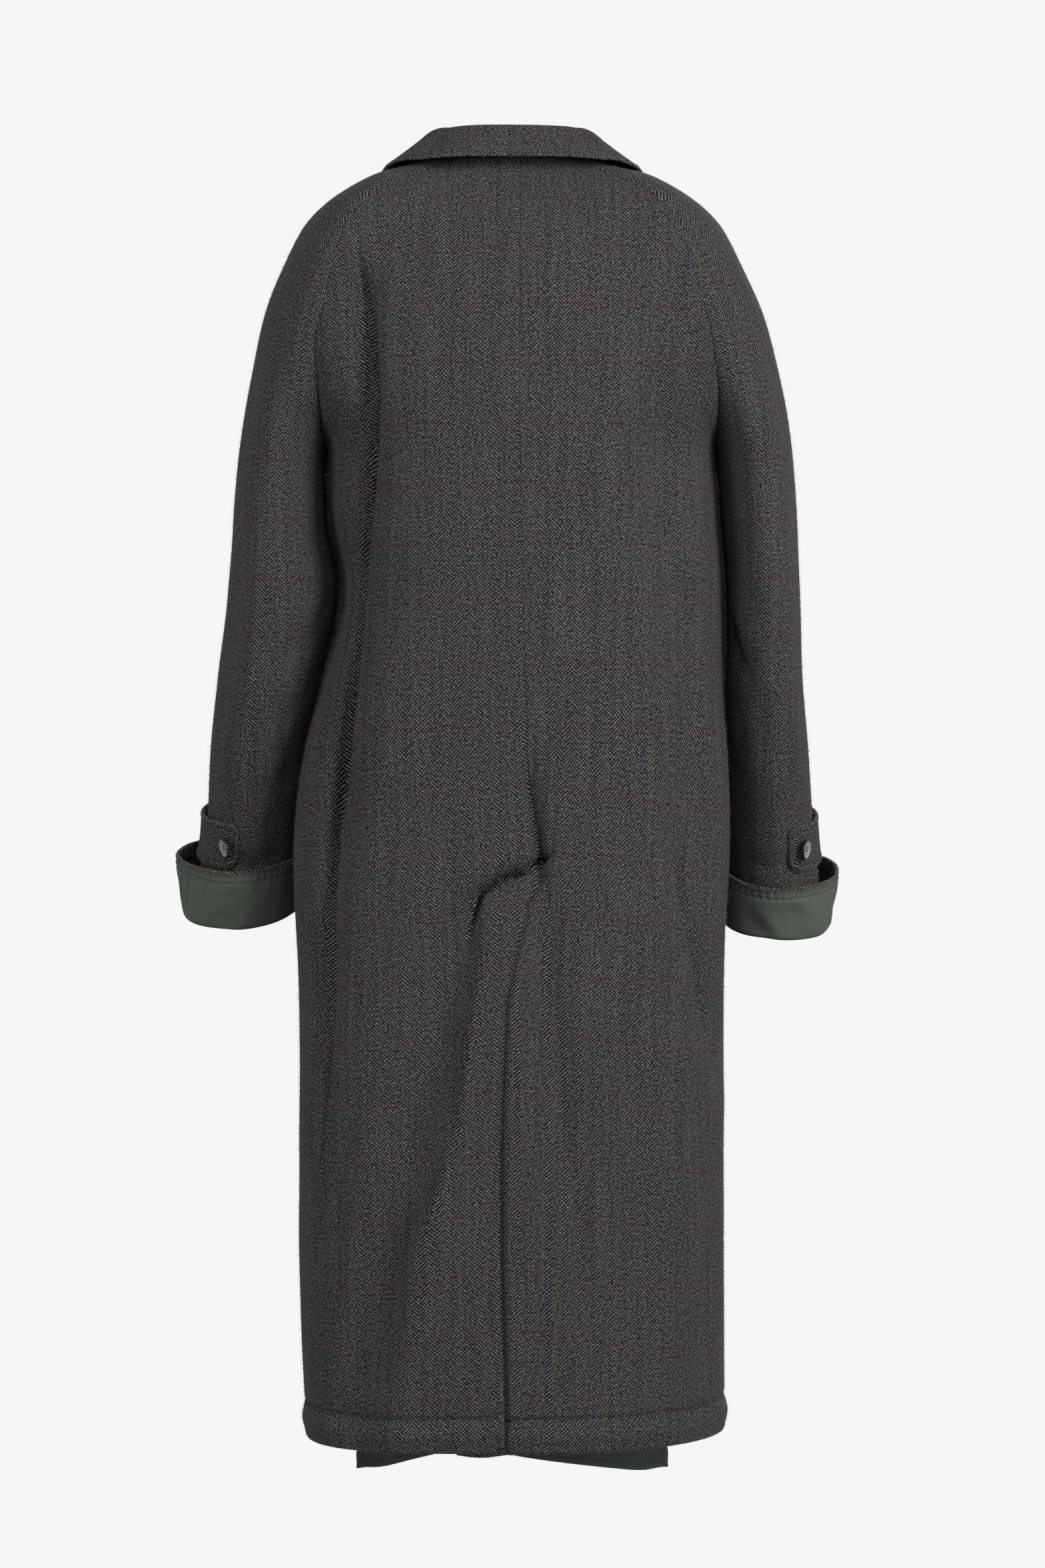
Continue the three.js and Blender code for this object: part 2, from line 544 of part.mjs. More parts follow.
// A cuff: the sleeve's end turned outwards and up. Each step: how far out of the sleeve's
// middle, and how high above its end. flare: share of the cuff's flare at that height.
const cuffSteps = [
  { out: 0, up: -0.4, flare: 0 },
  { out: 0, up: -3, flare: 0 },
  { out: 2.6, up: -6, flare: 0 },
  { out: 5.4, up: -3.5, flare: 0 },
  { out: 6, up: 4, flare: 0.15 },
  { out: 6, up: 0.5 * cuffHeight, flare: 0.65 },
  { out: 6, up: cuffHeight - 6, flare: 1 },
];
const axisStep = 60;

function cuff(side) {
  const end = side.sleeveEnd;
  const centre = new THREE.Vector3();
  for (let c = 0; c < 4; c++) centre.addScaledVector(sleevePoint(side.sign, end, 90 * c), 0.25);
  const grid = cuffSteps.map((step) => {
    const row = [];
    for (let c = 0; c < cuffColumns; c++) {
      const angle = (360 * c) / cuffColumns;
      const foot = sleevePoint(side.sign, end, angle);
      const up = sleevePoint(side.sign, end - axisStep, angle).sub(foot).normalize();
      const ahead = sleevePoint(side.sign, end, angle + 2);
      const out = ahead.sub(foot).cross(up).normalize();
      if (out.dot(foot.clone().sub(centre)) < 0) out.negate();
      const flare = (side.cuffFlare * (1 - Math.cos(rad(angle)))) / 2;
      foot.addScaledVector(out, step.out - wall / 2 + step.flare * flare);
      row.push(foot.addScaledVector(up, step.up));
    }
    return row;
  });
  const normals = normalsOf(grid, () => centre, true);
  return wallBetween(
    offsetGrid(grid, normals, wall / 2), offsetGrid(grid, normals, -wall / 2), true,
  );
}

// A cuff tab: a strap round the outside of the sleeve, free of it between its ends.
// angle: degrees round the sleeve. lift: how far it stands off. tall: share of its height.
const tabSections = [
  { angle: 104, lift: 2.2, tall: 0.74 },
  { angle: 112, lift: 2.6, tall: 1 },
  { angle: 135, lift: 4.2, tall: 1 },
  { angle: 180, lift: 4.8, tall: 1 },
  { angle: 215, lift: 4, tall: 1 },
  { angle: 245, lift: 2.2, tall: 1 },
];
const tabColumns = 12;
const tabRows = 3;

function tabMiddle(side) {
  const [first, last] = [tabSections[0].angle, tabSections.at(-1).angle];
  const angles = Array.from({ length: tabColumns + 1 }, (_, c) =>
    THREE.MathUtils.lerp(first, last, c / tabColumns),
  );
  const at = (column, angle) => read(tabSections, "angle", column, angle);
  const under = [];
  for (let r = 0; r <= tabRows; r++)
    under.push(
      angles.map((angle) => {
        const up = (r / tabRows - 0.5) * tabHeight * at("tall", angle);
        return sleevePoint(side.sign, side.tabAlong + up, angle + side.tabTurn);
      }),
    );
  const out = normalsOf(under, sleeveAxis(under));
  return under.map((row, r) =>
    row.map((p, c) => p.clone().addScaledVector(out[r][c], at("lift", angles[c]))),
  );
}

// A four-hole button, lying in its own XY plane with its back at Z 0.
const buttonThickness = 3.2;
const holeOut = 0.11; // of the diameter: how far each hole is from the middle
const holeRadius = 0.045;
function button(diameter) {
  const disc = new THREE.Shape().absarc(0, 0, diameter / 2, 0, 2 * Math.PI);
  for (let k = 0; k < 4; k++) {
    const turn = Math.PI / 4 + (k * Math.PI) / 2;
    const [x, y] = [Math.cos(turn), Math.sin(turn)].map((v) => v * holeOut * diameter);
    const hole = new THREE.Path().absarc(x, y, holeRadius * diameter, 0, 2 * Math.PI, true);
    disc.holes.push(hole);
  }
  return new THREE.ExtrudeGeometry(disc, {
    depth: buttonThickness, bevelEnabled: false, curveSegments: 6,
  });
}

// Seats a button on a point of the cloth, facing along its direction.
const buttonSeat = 0.5;
function seat(name, diameter, point, direction) {
  const mesh = add(name, button(diameter), horn);
  mesh.position.copy(point).addScaledVector(direction, buttonSeat);
  mesh.quaternion.setFromUnitVectors(new THREE.Vector3(0, 0, 1), direction);
}

// The point of a grid between its rows and columns.
function between(grid, row, column) {
  const [r, c] = [Math.floor(row), Math.floor(column)];
  const along = (line) => line[c].clone().lerp(line[c + 1], column - c);
  return along(grid[r]).lerp(along(grid[r + 1]), row - r);
}

for (const side of sides) {
  add("cuff_" + side.name, cuff(side), cotton);
  const middle = tabMiddle(side);
  const normals = normalsOf(middle, sleeveAxis(middle));
  const face = offsetGrid(middle, normals, tabThickness / 2);
  add(
    "tab_" + side.name,
    wallBetween(face, offsetGrid(middle, normals, -tabThickness / 2)),
    wool,
  );
  const [row, column] = [tabRows / 2, side.buttonColumn];
  const out = between(normals, row, column).normalize();
  seat("cuff_button_" + side.name, cuffButton, between(face, row, column), out);
}

// The front buttons, in the column next to the left front's edge.
const frontButtonRows = [5, 10, 13, 15];
frontButtonRows.forEach((r, i) => {
  const { grid, normals } = pieces.front_left;
  seat("front_button_" + (i + 1), frontButton, grid[r][1], normals[r][1]);
});

export default coat;
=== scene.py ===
# A long wool overcoat, hollow, holding the shape of a wearer who isn't there, seen from behind.
# Sizes are in millimetres until a mesh is made from them, which is in metres.
# X is to the wearer's right, Y out of the chest and Z up, from the middle of the neck.
import math

import bpy
import mathutils
import numpy as np
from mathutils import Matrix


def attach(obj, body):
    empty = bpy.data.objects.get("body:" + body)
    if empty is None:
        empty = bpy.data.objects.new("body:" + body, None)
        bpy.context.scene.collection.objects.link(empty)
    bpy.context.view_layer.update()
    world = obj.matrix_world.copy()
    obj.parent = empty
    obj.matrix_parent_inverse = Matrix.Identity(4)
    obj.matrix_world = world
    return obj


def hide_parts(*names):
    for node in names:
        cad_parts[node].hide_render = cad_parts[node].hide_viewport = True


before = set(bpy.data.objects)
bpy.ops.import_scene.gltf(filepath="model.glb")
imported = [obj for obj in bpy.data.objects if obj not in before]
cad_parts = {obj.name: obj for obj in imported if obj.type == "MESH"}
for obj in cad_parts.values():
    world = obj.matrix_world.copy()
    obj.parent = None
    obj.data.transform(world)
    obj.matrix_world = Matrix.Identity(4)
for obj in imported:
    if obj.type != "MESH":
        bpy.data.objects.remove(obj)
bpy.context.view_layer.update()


# Studio: a level camera behind the coat, on a long lens that keeps its sides nearly parallel.
# The floor and the air are one pale grey, and four wide soft lights model the folds.
paper = "F6F6F6"
camera_at = (0.010, -3.780, -0.600)
camera_lens = 86.8
air_light = 0.36
floor_down = 1.62
floor_half = 60.0


def linear(hex_colour):
    """An sRGB hex colour as linear red, green, blue and alpha."""
    parts = [int(hex_colour[i : i + 2], 16) / 255 for i in (0, 2, 4)]
    return [c / 12.92 if c <= 0.04045 else ((c + 0.055) / 1.055) ** 2.4 for c in parts] + [1.0]


def feed(tree, node, links):
    """Gives each named input of a node a value or an output. A node stands for its first output."""
    for name, value in links.items():
        if isinstance(value, bpy.types.Node):
            value = next(output for output in value.outputs if output.enabled)
        if isinstance(value, bpy.types.NodeSocket):
            tree.links.new(value, node.inputs[name])
        else:
            node.inputs[name].default_value = value
    return node


def add(tree, kind, links=None, **settings):
    """Adds a node with its settings and links."""
    made = tree.nodes.new(kind)
    for name, value in settings.items():
        setattr(made, name, value)
    return feed(tree, made, links or {})


def new_object(name, data):
    made = bpy.data.objects.new(name, data)
    bpy.context.scene.collection.objects.link(made)
    return made


bpy.context.scene.view_settings.view_transform = "Standard"
camera = new_object("camera", bpy.data.cameras.new("camera"))
camera.data.lens = camera_lens
camera.data.clip_end = 100
camera.location = camera_at
camera.rotation_euler = (math.radians(90), 0, 0)
bpy.context.scene.camera = camera

world = bpy.data.worlds.new("studio air")
bpy.context.scene.world = world
world.use_nodes = True
air = world.node_tree
air.nodes.clear()
seen = add(air, "ShaderNodeBackground", {"Color": linear(paper), "Strength": 1.0})
lit = add(air, "ShaderNodeBackground", {"Color": linear(paper), "Strength": air_light})
ray = add(air, "ShaderNodeLightPath")
mixed = add(air, "ShaderNodeMixShader", {0: ray.outputs["Is Camera Ray"], 1: lit, 2: seen})
add(air, "ShaderNodeOutputWorld", {"Surface": mixed})

floor_mesh = bpy.data.meshes.new("floor")
corners = [(x * floor_half, y * floor_half, -floor_down) for x, y in ((-1, -1), (1, -1), (1, 1), (-1, 1))]
floor_mesh.from_pydata(corners, [], [(0, 1, 2, 3)])
floor = new_object("floor", floor_mesh)
floor_paint = bpy.data.materials.new("pale studio floor")
floor_paint.use_nodes = True
floor_paint.node_tree.nodes.clear()
glow = add(floor_paint.node_tree, "ShaderNodeEmission", {"Color": linear(paper), "Strength": 1.0})
add(floor_paint.node_tree, "ShaderNodeOutputMaterial", {"Surface": glow})
floor_mesh.materials.append(floor_paint)
floor.visible_diffuse = False
floor.visible_glossy = False
floor.visible_shadow = False

# where each light stands, what it faces, its width and height in metres, and its watts
softboxes = {
    "key": ((2.2, -2.2, 0.3), (0.0, 0.0, -0.7), 0.9, 1.8, 92),
    "fill": ((-2.4, -2.0, 0.0), (0.0, 0.0, -0.7), 0.9, 1.8, 32),
    "top": ((0.1, -2.9, 1.6), (0.0, 0.0, -0.8), 1.6, 1.0, 34),
    "front": ((0.4, 3.4, 0.9), (0.0, 0.0, -0.6), 2.0, 2.0, 60),
}
for name, (place, target, width, height, watts) in softboxes.items():
    light = bpy.data.lights.new(name, "AREA")
    light.shape = "RECTANGLE"
    light.size = width
    light.size_y = height
    light.energy = watts
    lamp = new_object(name, light)
    lamp.location = place
    aim = lamp.location.copy()
    for i in range(3):
        aim[i] = target[i] - place[i]
    lamp.rotation_euler = aim.to_track_quat("-Z", "Y").to_euler()
    lamp.visible_camera = False


# Raglan sleeves: each is one piece of double cloth, herringbone wool with green cotton inside,
# that runs to the neck. It is closed by a seam under the arm and set in along the raglan seams.
wall = 3.0
armpit_along = 385
yoke_count = 92
arm_count = 112
sleeve_columns = 92
sleeve_ends = {-1: 841, 1: 853}
edge_roll = np.array([0, 0.35, 1.1, 2.6])  # the first columns from a sewn edge, which rolls in
seam_roll = 0.35
edge_turn = 1.1
sharp_gain = 2.6
sharp_wide = 13
section_steps = 97
fine_steps = 600
measured_lanes = 140
crease_fade = 0.32  # the share of its path over which a crease runs out at each end


def table(names, *rows):
    """Rows of numbers under named columns."""
    return dict(zip(names.split(), np.array(rows, float).T))


# along: distance down the over-arm line. topX, topZ: that line. tilt: which way it faces.
# right, left: half widths. back, front: reach from midY. seamBack, seamFront: the raglan seams.
# backSlope, frontSlope: how the rows tip, behind and before. leftOut: how far the left one sways.
sleeve = table(
    "along topX topZ tilt right left back front midY seamBack seamFront backSlope frontSlope leftOut",
    (0, 73, 16, 20, 20, 20, 46, 42, -8, 100, 100, -0.17, -0.48, 0),
    (50, 122, 9, 80, 26, 26, 92, 72, -6, 98, 98, 0, -0.3, 0),
    (95, 166, -10, 76, 44, 44, 116, 88, -4, 95, 95, 0, -0.16, 0),
    (145, 205, -42, 56, 60, 60, 124, 92, -2, 92, 92, 0, -0.09, 0),
    (190, 232, -92, 36, 58, 60, 122, 92, -1, 88, 88, 0, 0, 0),
    (240, 252, -140, 22, 57, 58, 116, 90, 0, 84, 82, 0, 0, -2),
    (300, 267, -200, 12, 48, 53, 108, 86, 0, 66, 62, 0, 0, -5),
    (345, 275, -243, 6, 41, 46, 103, 84, 0, 38, 36, 0, 0, -6),
    (385, 280, -282, 3, 37.5, 43.5, 99, 82, 0, 0, 0, 0, 0, -6),
    (450, 284, -345, 1, 36.5, 45.5, 95, 79, -5, 0, 0, 0.02, 0.02, -6),
    (520, 287, -415, 0, 35.5, 53, 89, 76, -11, 0, 0, 0.05, 0.05, -4),
    (600, 290, -495, -2, 37.5, 50.5, 79, 71, -7, 0, 0, 0.12, 0.12, 4),
    (680, 297, -572, -3, 42, 48, 70, 65, 14, 0, 0, 0.2, 0.2, 7),
    (760, 303, -648, -4, 44.5, 48, 63, 60, 40, 0, 0, 0.26, 0.26, 6),
    (800, 308, -686, -4, 46, 50.5, 61, 58, 52, 0, 0, 0.27, 0.27, 9),
    (850, 317, -733, -4, 51, 57, 60, 57, 66, 0, 0, 0.28, 0.28, 15),
    (870, 320.6, -752, -4, 53, 59.5, 60, 57, 71, 0, 0, 0.28, 0.28, 17),
)

# The largest folds, which the solids have too: a curve through three points, seen from behind.
drapes = table(
    "x0 z0 x1 z1 x2 z2 width depth",
    (-143, -130, -150, -460, -190, -820, 15, 13),
    (148, -230, 160, -470, 194, -820, 19, 9),
    (-52, -760, -100, -960, -158, -1200, 26, 12),
    (-26, -740, -62, -940, -112, -1220, 16, -6),
    (27, -672, -12, -696, -38, -722, 15, 5),
    (17, -590, 22, -635, 27, -676, 8, 5),
    (24, -610, 36, -790, 54, -980, 13, 4),
)
drape_fade = 30
drape_start = 20
drape_full = 80


def ease(v):
    v = np.clip(v, 0, 1)
    return v * v * (3 - 2 * v)


def bell(distance, wide):
    """1 on a line, falling softly to 0 on both sides of it."""
    return np.exp(-((distance / wide) ** 2))


def read(rows, key, column, at):
    """A column of a table at any place: a smooth curve through its rows that never overshoots."""
    x, y = rows[key], rows[column]
    rise = np.diff(y) / np.diff(x)
    product = rise[:-1] * rise[1:]
    total = np.where(product > 0, rise[:-1] + rise[1:], 1)
    slope = np.concatenate([rise[:1], np.where(product > 0, 2 * product / total, 0), rise[-1:]])
    at = np.clip(at, x[0], x[-1])
    i = np.clip(np.searchsorted(x, at, side="right") - 1, 0, len(x) - 2)
    step = x[i + 1] - x[i]
    t = (at - x[i]) / step
    level = y[i] * (1 + 2 * t) * (1 - t) ** 2 + y[i + 1] * t * t * (3 - 2 * t)
    return level + step * t * (1 - t) * ((1 - t) * slope[i] - t * slope[i + 1])


def draped(p):
    """Points moved inwards by the largest folds: fully on the back, not at all at the sides."""
    x, z = p[..., 0], p[..., 2]
    depth = np.zeros_like(x)
    for x0, z0, x1, z1, x2, z2, width, deep in zip(*drapes.values()):
        t = np.clip((z0 - z) / (z0 - z2), 0, 1)
        tm = (z0 - z1) / (z0 - z2)
        line = x0 * (t - tm) * (t - 1) / tm
        line += x1 * t * (t - 1) / (tm * (tm - 1)) + x2 * t * (t - tm) / (1 - tm)
        away = (x - line) / (width * math.hypot(1, (x2 - x0) / (z0 - z2)))
        past = np.maximum(np.maximum(z - z0, z2 - z), 0) / drape_fade
        depth += deep * np.exp(-away * away - past * past)
    p[..., 1] += depth * ease((-p[..., 1] - drape_start) / (drape_full - drape_start))
    return p


def sleeve_point(sign, along, angle):
    """A point of a sleeve. angle: degrees round it, from the armpit line by way of the back."""
    along, angle = np.broadcast_arrays(np.asarray(along, float), np.asarray(angle, float))

    def at(name):
        return read(sleeve, "along", name, along)

    tilt = np.radians(at("tilt"))
    half = at("left" if sign < 0 else "right")
    sin, cos = np.sin(np.radians(angle)), np.cos(np.radians(angle))
    out = -half * cos - half
    behind = sin > 0
    y = -sin * np.where(behind, at("back"), at("front"))
    slope = np.where(behind, at("backSlope"), at("frontSlope"))
    sway = at("leftOut") if sign < 0 else 0
    x = sign * (at("topX") + sway + out * np.cos(tilt))
    z = at("topZ") + out * np.sin(tilt) + y * slope
    return draped(np.stack([x, at("midY") + y, z], axis=-1))


def along_cloth(points):
    """Distances along each row of a grid of points, from its first column."""
    steps = np.linalg.norm(np.diff(points, axis=1), axis=2)
    return np.concatenate([np.zeros((len(points), 1)), np.cumsum(steps, axis=1)], axis=1)


def spaced(lengths, count):
    """Places for columns on rows of these lengths, closer together where both ends roll in."""
    share = np.linspace(0, 1, count - 2 * (len(edge_roll) - 1))
    last = edge_roll[-1]
    middle = last + (lengths[:, None] - 2 * last) * share
    start = np.broadcast_to(edge_roll[:-1], (len(lengths), len(edge_roll) - 1))
    return np.concatenate([start, middle, lengths[:, None] - start[:, ::-1]], axis=1)


def evenly(curve, count, sharp_at=None):
    """A grid whose columns are spaced by length. curve(t) gives rows of points for t from 0 to 1.
    sharp_at: the places across each row where sharp folds need closer columns."""
    t = np.linspace(0, 1, section_steps)
    points = curve(t[None, :])
    lengths = along_cloth(points)
    wanted = spaced(lengths[:, -1], count)
    if sharp_at is not None:
        way = np.sign(points[0, -1, 0] - points[0, 0, 0])
        for i, (row, length) in enumerate(zip(wanted, lengths)):
            fine = np.linspace(0, length[-1], fine_steps)
            density = np.ones(len(fine))
            for x in sharp_at:
                middle = np.interp(way * x[i], way * points[i, :, 0], length)
                density += sharp_gain * bell(fine - middle, sharp_wide)
            share = np.cumsum(density) - density[0]
            wanted[i] = np.interp(row / length[-1], share / share[-1], fine)
    found = np.stack([np.interp(w, row, t) for w, row in zip(wanted, lengths)])
    return curve(found)


def across_normals(points):
    """The direction square to a grid of points, before it is turned outwards."""
    return np.cross(np.gradient(points, axis=1), np.gradient(points, axis=0))


def unit(vectors):
    return vectors / np.maximum(np.linalg.norm(vectors, axis=-1, keepdims=True), 1e-9)


def outward(points, centre):
    """The direction out of the cloth at each point of a grid round a centre line."""
    normals = unit(across_normals(points))
    return normals if np.sum((normals * (points - centre))[-1]) > 0 else -normals


def measured(points, zero, level):
    """Distances over a grid of cloth in millimetres: across from zero, and down from row level."""
    u = along_cloth(points) - zero[:, None]
    lanes = np.linspace(u.min(), u.max(), measured_lanes)
    rows = [[np.interp(lanes, u[r], points[r, :, k]) for k in range(3)] for r in range(len(points))]
    step = np.linalg.norm(np.diff(np.array(rows), axis=0), axis=1)
    first, last = np.maximum(u[1:, :1], u[:-1, :1]), np.minimum(u[1:, -1:], u[:-1, -1:])
    step = np.where((lanes < first) | (lanes > last), np.median(step, axis=1, keepdims=True), step)
    fall = np.concatenate([np.zeros((1, len(lanes))), np.cumsum(step, axis=0)])
    fall -= fall[level]
    return u, np.stack([np.interp(u[r], lanes, fall[r]) for r in range(len(points))])


def crease_depth(across, along, creases):
    """The depth of soft troughs (over 0) and ridges (under 0), each along a path of its own."""
    total = np.zeros_like(across)
    for depth, before, after, power, path in creases:
        near = np.full_like(across, np.inf)
        side = np.zeros_like(across)
        place = np.zeros_like(across)
        gone = 0
        for (ax, az), (bx, bz) in zip(path, path[1:]):
            length = math.hypot(bx - ax, bz - az)
            t = np.clip(((across - ax) * (bx - ax) + (along - az) * (bz - az)) / length**2, 0, 1)
            dx, dz = across - ax - t * (bx - ax), along - az - t * (bz - az)
            away = np.hypot(dx, dz)
            closer = away < near
            near = np.where(closer, away, near)
            side = np.where(closer, (bx - ax) * dz - (bz - az) * dx, side)
            place = np.where(closer, gone + t * length, place)
            gone += length
        fade = ease(np.minimum(place, gone - place) / (crease_fade * gone))
        total += depth * fade * np.exp(-((near / np.where(side > 0, before, after)) ** power))
    return total


def rolled(points, deep):
    """How deep the cloth's face lies below its form: it rolls in towards its edges.
    deep: how far it does on the first and last columns and the first and last rows of the grid."""
    across = along_cloth(points)
    down = along_cloth(points.swapaxes(0, 1)).T
    depth = np.zeros(points.shape[:2])
    edges = [across, across[:, -1:] - across, down, down[-1:] - down]
    for distance, most in zip(edges, deep):
        near = np.clip(1 - distance / edge_roll[-1], 0, 1)
        depth = np.maximum(depth, most * (1 - np.sqrt(1 - near * near)))
    return depth


def cloth_mesh(name, outer, inner, uv, materials, ring=False, rim=0, border=0):
    """A closed shell of cloth between two grids of points. Its faces point out of the cloth.
    rim is the slot of the material on its edges and on the last border rows of the outer face."""
    rows, columns = outer.shape[:2]
    points = np.concatenate([outer.reshape(-1, 3), inner.reshape(-1, 3)]) / 1000
    ids = np.arange(2 * rows * columns).reshape(2, rows, columns)
    if ring:
        ids = np.concatenate([ids, ids[:, :, :1]], axis=2)
    sheet, back = ids

    def quads(a, b, c, d):
        return np.stack([a, b, c, d], axis=-1).reshape(-1, 4)

    faces = [quads(sheet[:-1, :-1], sheet[:-1, 1:], sheet[1:, 1:], sheet[1:, :-1])]
    faces.append(quads(back[:-1, :-1], back[1:, :-1], back[1:, 1:], back[:-1, 1:]))
    faces.append(quads(sheet[0, :-1], back[0, :-1], back[0, 1:], sheet[0, 1:]))
    faces.append(quads(sheet[-1, :-1], sheet[-1, 1:], back[-1, 1:], back[-1, :-1]))
    if not ring:
        faces.append(quads(sheet[:-1, 0], sheet[1:, 0], back[1:, 0], back[:-1, 0]))
        faces.append(quads(sheet[:-1, -1], back[:-1, -1], back[1:, -1], sheet[1:, -1]))
    slots = np.concatenate([np.full(len(f), i if i < 2 else rim) for i, f in enumerate(faces)])
    if border:
        slots[len(faces[0]) - border * (sheet.shape[1] - 1) : len(faces[0])] = rim
    faces = np.concatenate(faces)
    first, second, third = points[faces[:, 0]], points[faces[:, 1]], points[faces[:, 2]]
    fourth = points[faces[:, 3]]
    volume = np.sum(first * np.cross(second, third)) + np.sum(first * np.cross(third, fourth))
    if volume < 0:
        faces = faces[:, ::-1]
    mesh = bpy.data.meshes.new(name)
    mesh.vertices.add(len(points))
    mesh.vertices.foreach_set("co", points.ravel())
    mesh.loops.add(faces.size)
    mesh.loops.foreach_set("vertex_index", faces.ravel())
    mesh.polygons.add(len(faces))
    mesh.polygons.foreach_set("loop_start", np.arange(len(faces)) * 4)
    mesh.polygons.foreach_set("material_index", slots)
    mesh.polygons.foreach_set("use_smooth", np.ones(len(faces), bool))
    places = np.concatenate([uv.reshape(-1, 2), uv.reshape(-1, 2)]) / 1000
    mesh.uv_layers.new(name="cloth").data.foreach_set("uv", places[faces.ravel()].ravel())
    for material in materials:
        mesh.materials.append(material)
    mesh.update()
    return new_object(name, mesh)


def fitted(piece, node):
    """Puts a piece in the place of one of the frame's solids."""
    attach(piece, "root")
    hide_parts(node)


def new_material(name):
    """A new material, its nodes and its shader."""
    made = bpy.data.materials.new(name)
    made.use_nodes = True
    return made, made.node_tree, made.node_tree.nodes["Principled BSDF"]


def woollen():
    """Herringbone wool, fulled and napped. Light threads show as short slanting floats that turn
    back every 7.6 mm, and a check of single dark red and navy threads crosses them. The nap
    blurs all of it and catches light at the coat's edges. Real floats are near this size."""
    leg = 0.0076  # metres, as the cloth's own map is
    twill_pitch = 0.0036
    twill_climb = 1.1
    thread_wander = 0.0012
    check = {"navy": (0, 0.046, 0.0010), "red": (1, 0.058, 0.0011)}  # axis, spacing, half width
    check_colour = {"navy": "4A506A", "red": "783E45"}
    light_thread, dark_thread = "646261", "09090A"
    made, tree, shader = new_material("napped herringbone wool")
    cloth = add(tree, "ShaderNodeUVMap", uv_map="cloth").outputs["UV"]
    slow = add(tree, "ShaderNodeTexNoise", {"Vector": cloth, "Scale": 70, "Detail": 2})
    loose = add(
        tree, "ShaderNodeVectorMath",
        {0: slow.outputs["Color"], 1: (thread_wander,) * 3, 2: cloth}, operation="MULTIPLY_ADD",
    )
    axes = add(tree, "ShaderNodeSeparateXYZ", {0: loose})
    across, down = axes.outputs[0], axes.outputs[1]

    # the slant of the floats, stepped by half a pitch from leg to leg
    zigzag = add(tree, "ShaderNodeMath", {0: across, 1: leg}, operation="PINGPONG")
    climb = add(tree, "ShaderNodeMath", {0: zigzag, 1: twill_climb, 2: down}, operation="MULTIPLY_ADD")
    pair = add(tree, "ShaderNodeMath", {0: across, 1: 0.5 / leg}, operation="MULTIPLY")
    part = add(tree, "ShaderNodeMath", {0: pair}, operation="FRACT")
    odd = add(tree, "ShaderNodeMath", {0: part, 1: 0.5}, operation="GREATER_THAN")
    step = add(tree, "ShaderNodeMath", {0: odd, 1: 0.5 * twill_pitch, 2: climb}, operation="MULTIPLY_ADD")
    floats = add(tree, "ShaderNodeMath", {0: step, 1: twill_pitch / 2}, operation="PINGPONG")

    # each float is broken into stitches of about 1.2 mm, no two as bright
    crumb = add(tree, "ShaderNodeTexNoise", {"Vector": cloth, "Scale": 430, "Detail": 3, "Roughness": 0.7})
    rough = add(
        tree, "ShaderNodeMapRange",
        {"Value": crumb, "From Min": 0.3, "From Max": 0.7, "To Min": -0.62, "To Max": 0.62},
    )
    ribbed = add(
        tree, "ShaderNodeMapRange",
        {"Value": floats, "From Max": twill_pitch / 2, "To Min": -0.15, "To Max": 1.15},
    )
    drawn = add(tree, "ShaderNodeMapping", {"Vector": cloth, "Scale": (1, 0.05, 1)})
    streaks = add(tree, "ShaderNodeTexNoise", {"Vector": drawn, "Scale": 170, "Detail": 2})
    streak = add(
        tree, "ShaderNodeMapRange",
        {"Value": streaks, "From Min": 0.3, "From Max": 0.7, "To Min": -0.07, "To Max": 0.07},
    )
    lively = add(tree, "ShaderNodeMath", {0: rough, 1: streak}, operation="ADD")
    full = add(tree, "ShaderNodeMath", {0: ribbed, 1: lively}, operation="ADD", use_clamp=True)
    relief = add(tree, "ShaderNodeMath", {0: full, 1: 2.6}, operation="POWER")

    # threads of the check take the place of light ones, and wear thin here and there
    thread = linear(light_thread)
    patch = add(tree, "ShaderNodeTexNoise", {"Vector": cloth, "Scale": 190, "Detail": 3})
    worn = add(
        tree, "ShaderNodeMapRange",
        {"Value": patch, "From Min": 0.42, "From Max": 0.62, "To Min": 0.0, "To Max": 0.85},
    )
    for name, (axis, spacing, half_width) in check.items():
        near = add(tree, "ShaderNodeMath", {0: axes.outputs[axis], 1: spacing / 2}, operation="PINGPONG")
        line = add(
            tree, "ShaderNodeMapRange",
            {"Value": near, "From Min": 1.5 * half_width, "From Max": 0.6 * half_width},
            interpolation_type="SMOOTHSTEP",
        )
        shown = add(tree, "ShaderNodeMath", {0: line, 1: worn}, operation="MULTIPLY")
        thread = add(
            tree, "ShaderNodeMix",
            {"Factor": shown, "A": thread, "B": linear(check_colour[name])},
            data_type="RGBA",
        )
    weave = add(
        tree, "ShaderNodeMix", {"Factor": relief, "A": linear(dark_thread), "B": thread}, data_type="RGBA",
    )

    # heather: dyed fibres of brown, blue and red spun into the grey yarn
    fibres = add(tree, "ShaderNodeTexNoise", {"Vector": cloth, "Scale": 330, "Detail": 3, "Roughness": 0.7})
    heather = add(
        tree, "ShaderNodeMix",
        {"Factor": 0.5, "A": weave, "B": fibres.outputs["Color"]},
        data_type="RGBA", blend_type="SOFT_LIGHT",
    )
    bump = add(tree, "ShaderNodeBump", {"Height": relief, "Strength": 0.5, "Distance": 0.0004})
    feed(tree, shader, {
        "Base Color": heather, "Normal": bump, "Roughness": 0.95, "Specular IOR Level": 0.2,
        "Sheen Weight": 0.05, "Sheen Roughness": 0.4, "Sheen Tint": linear("A89C90"),
    })
    return made


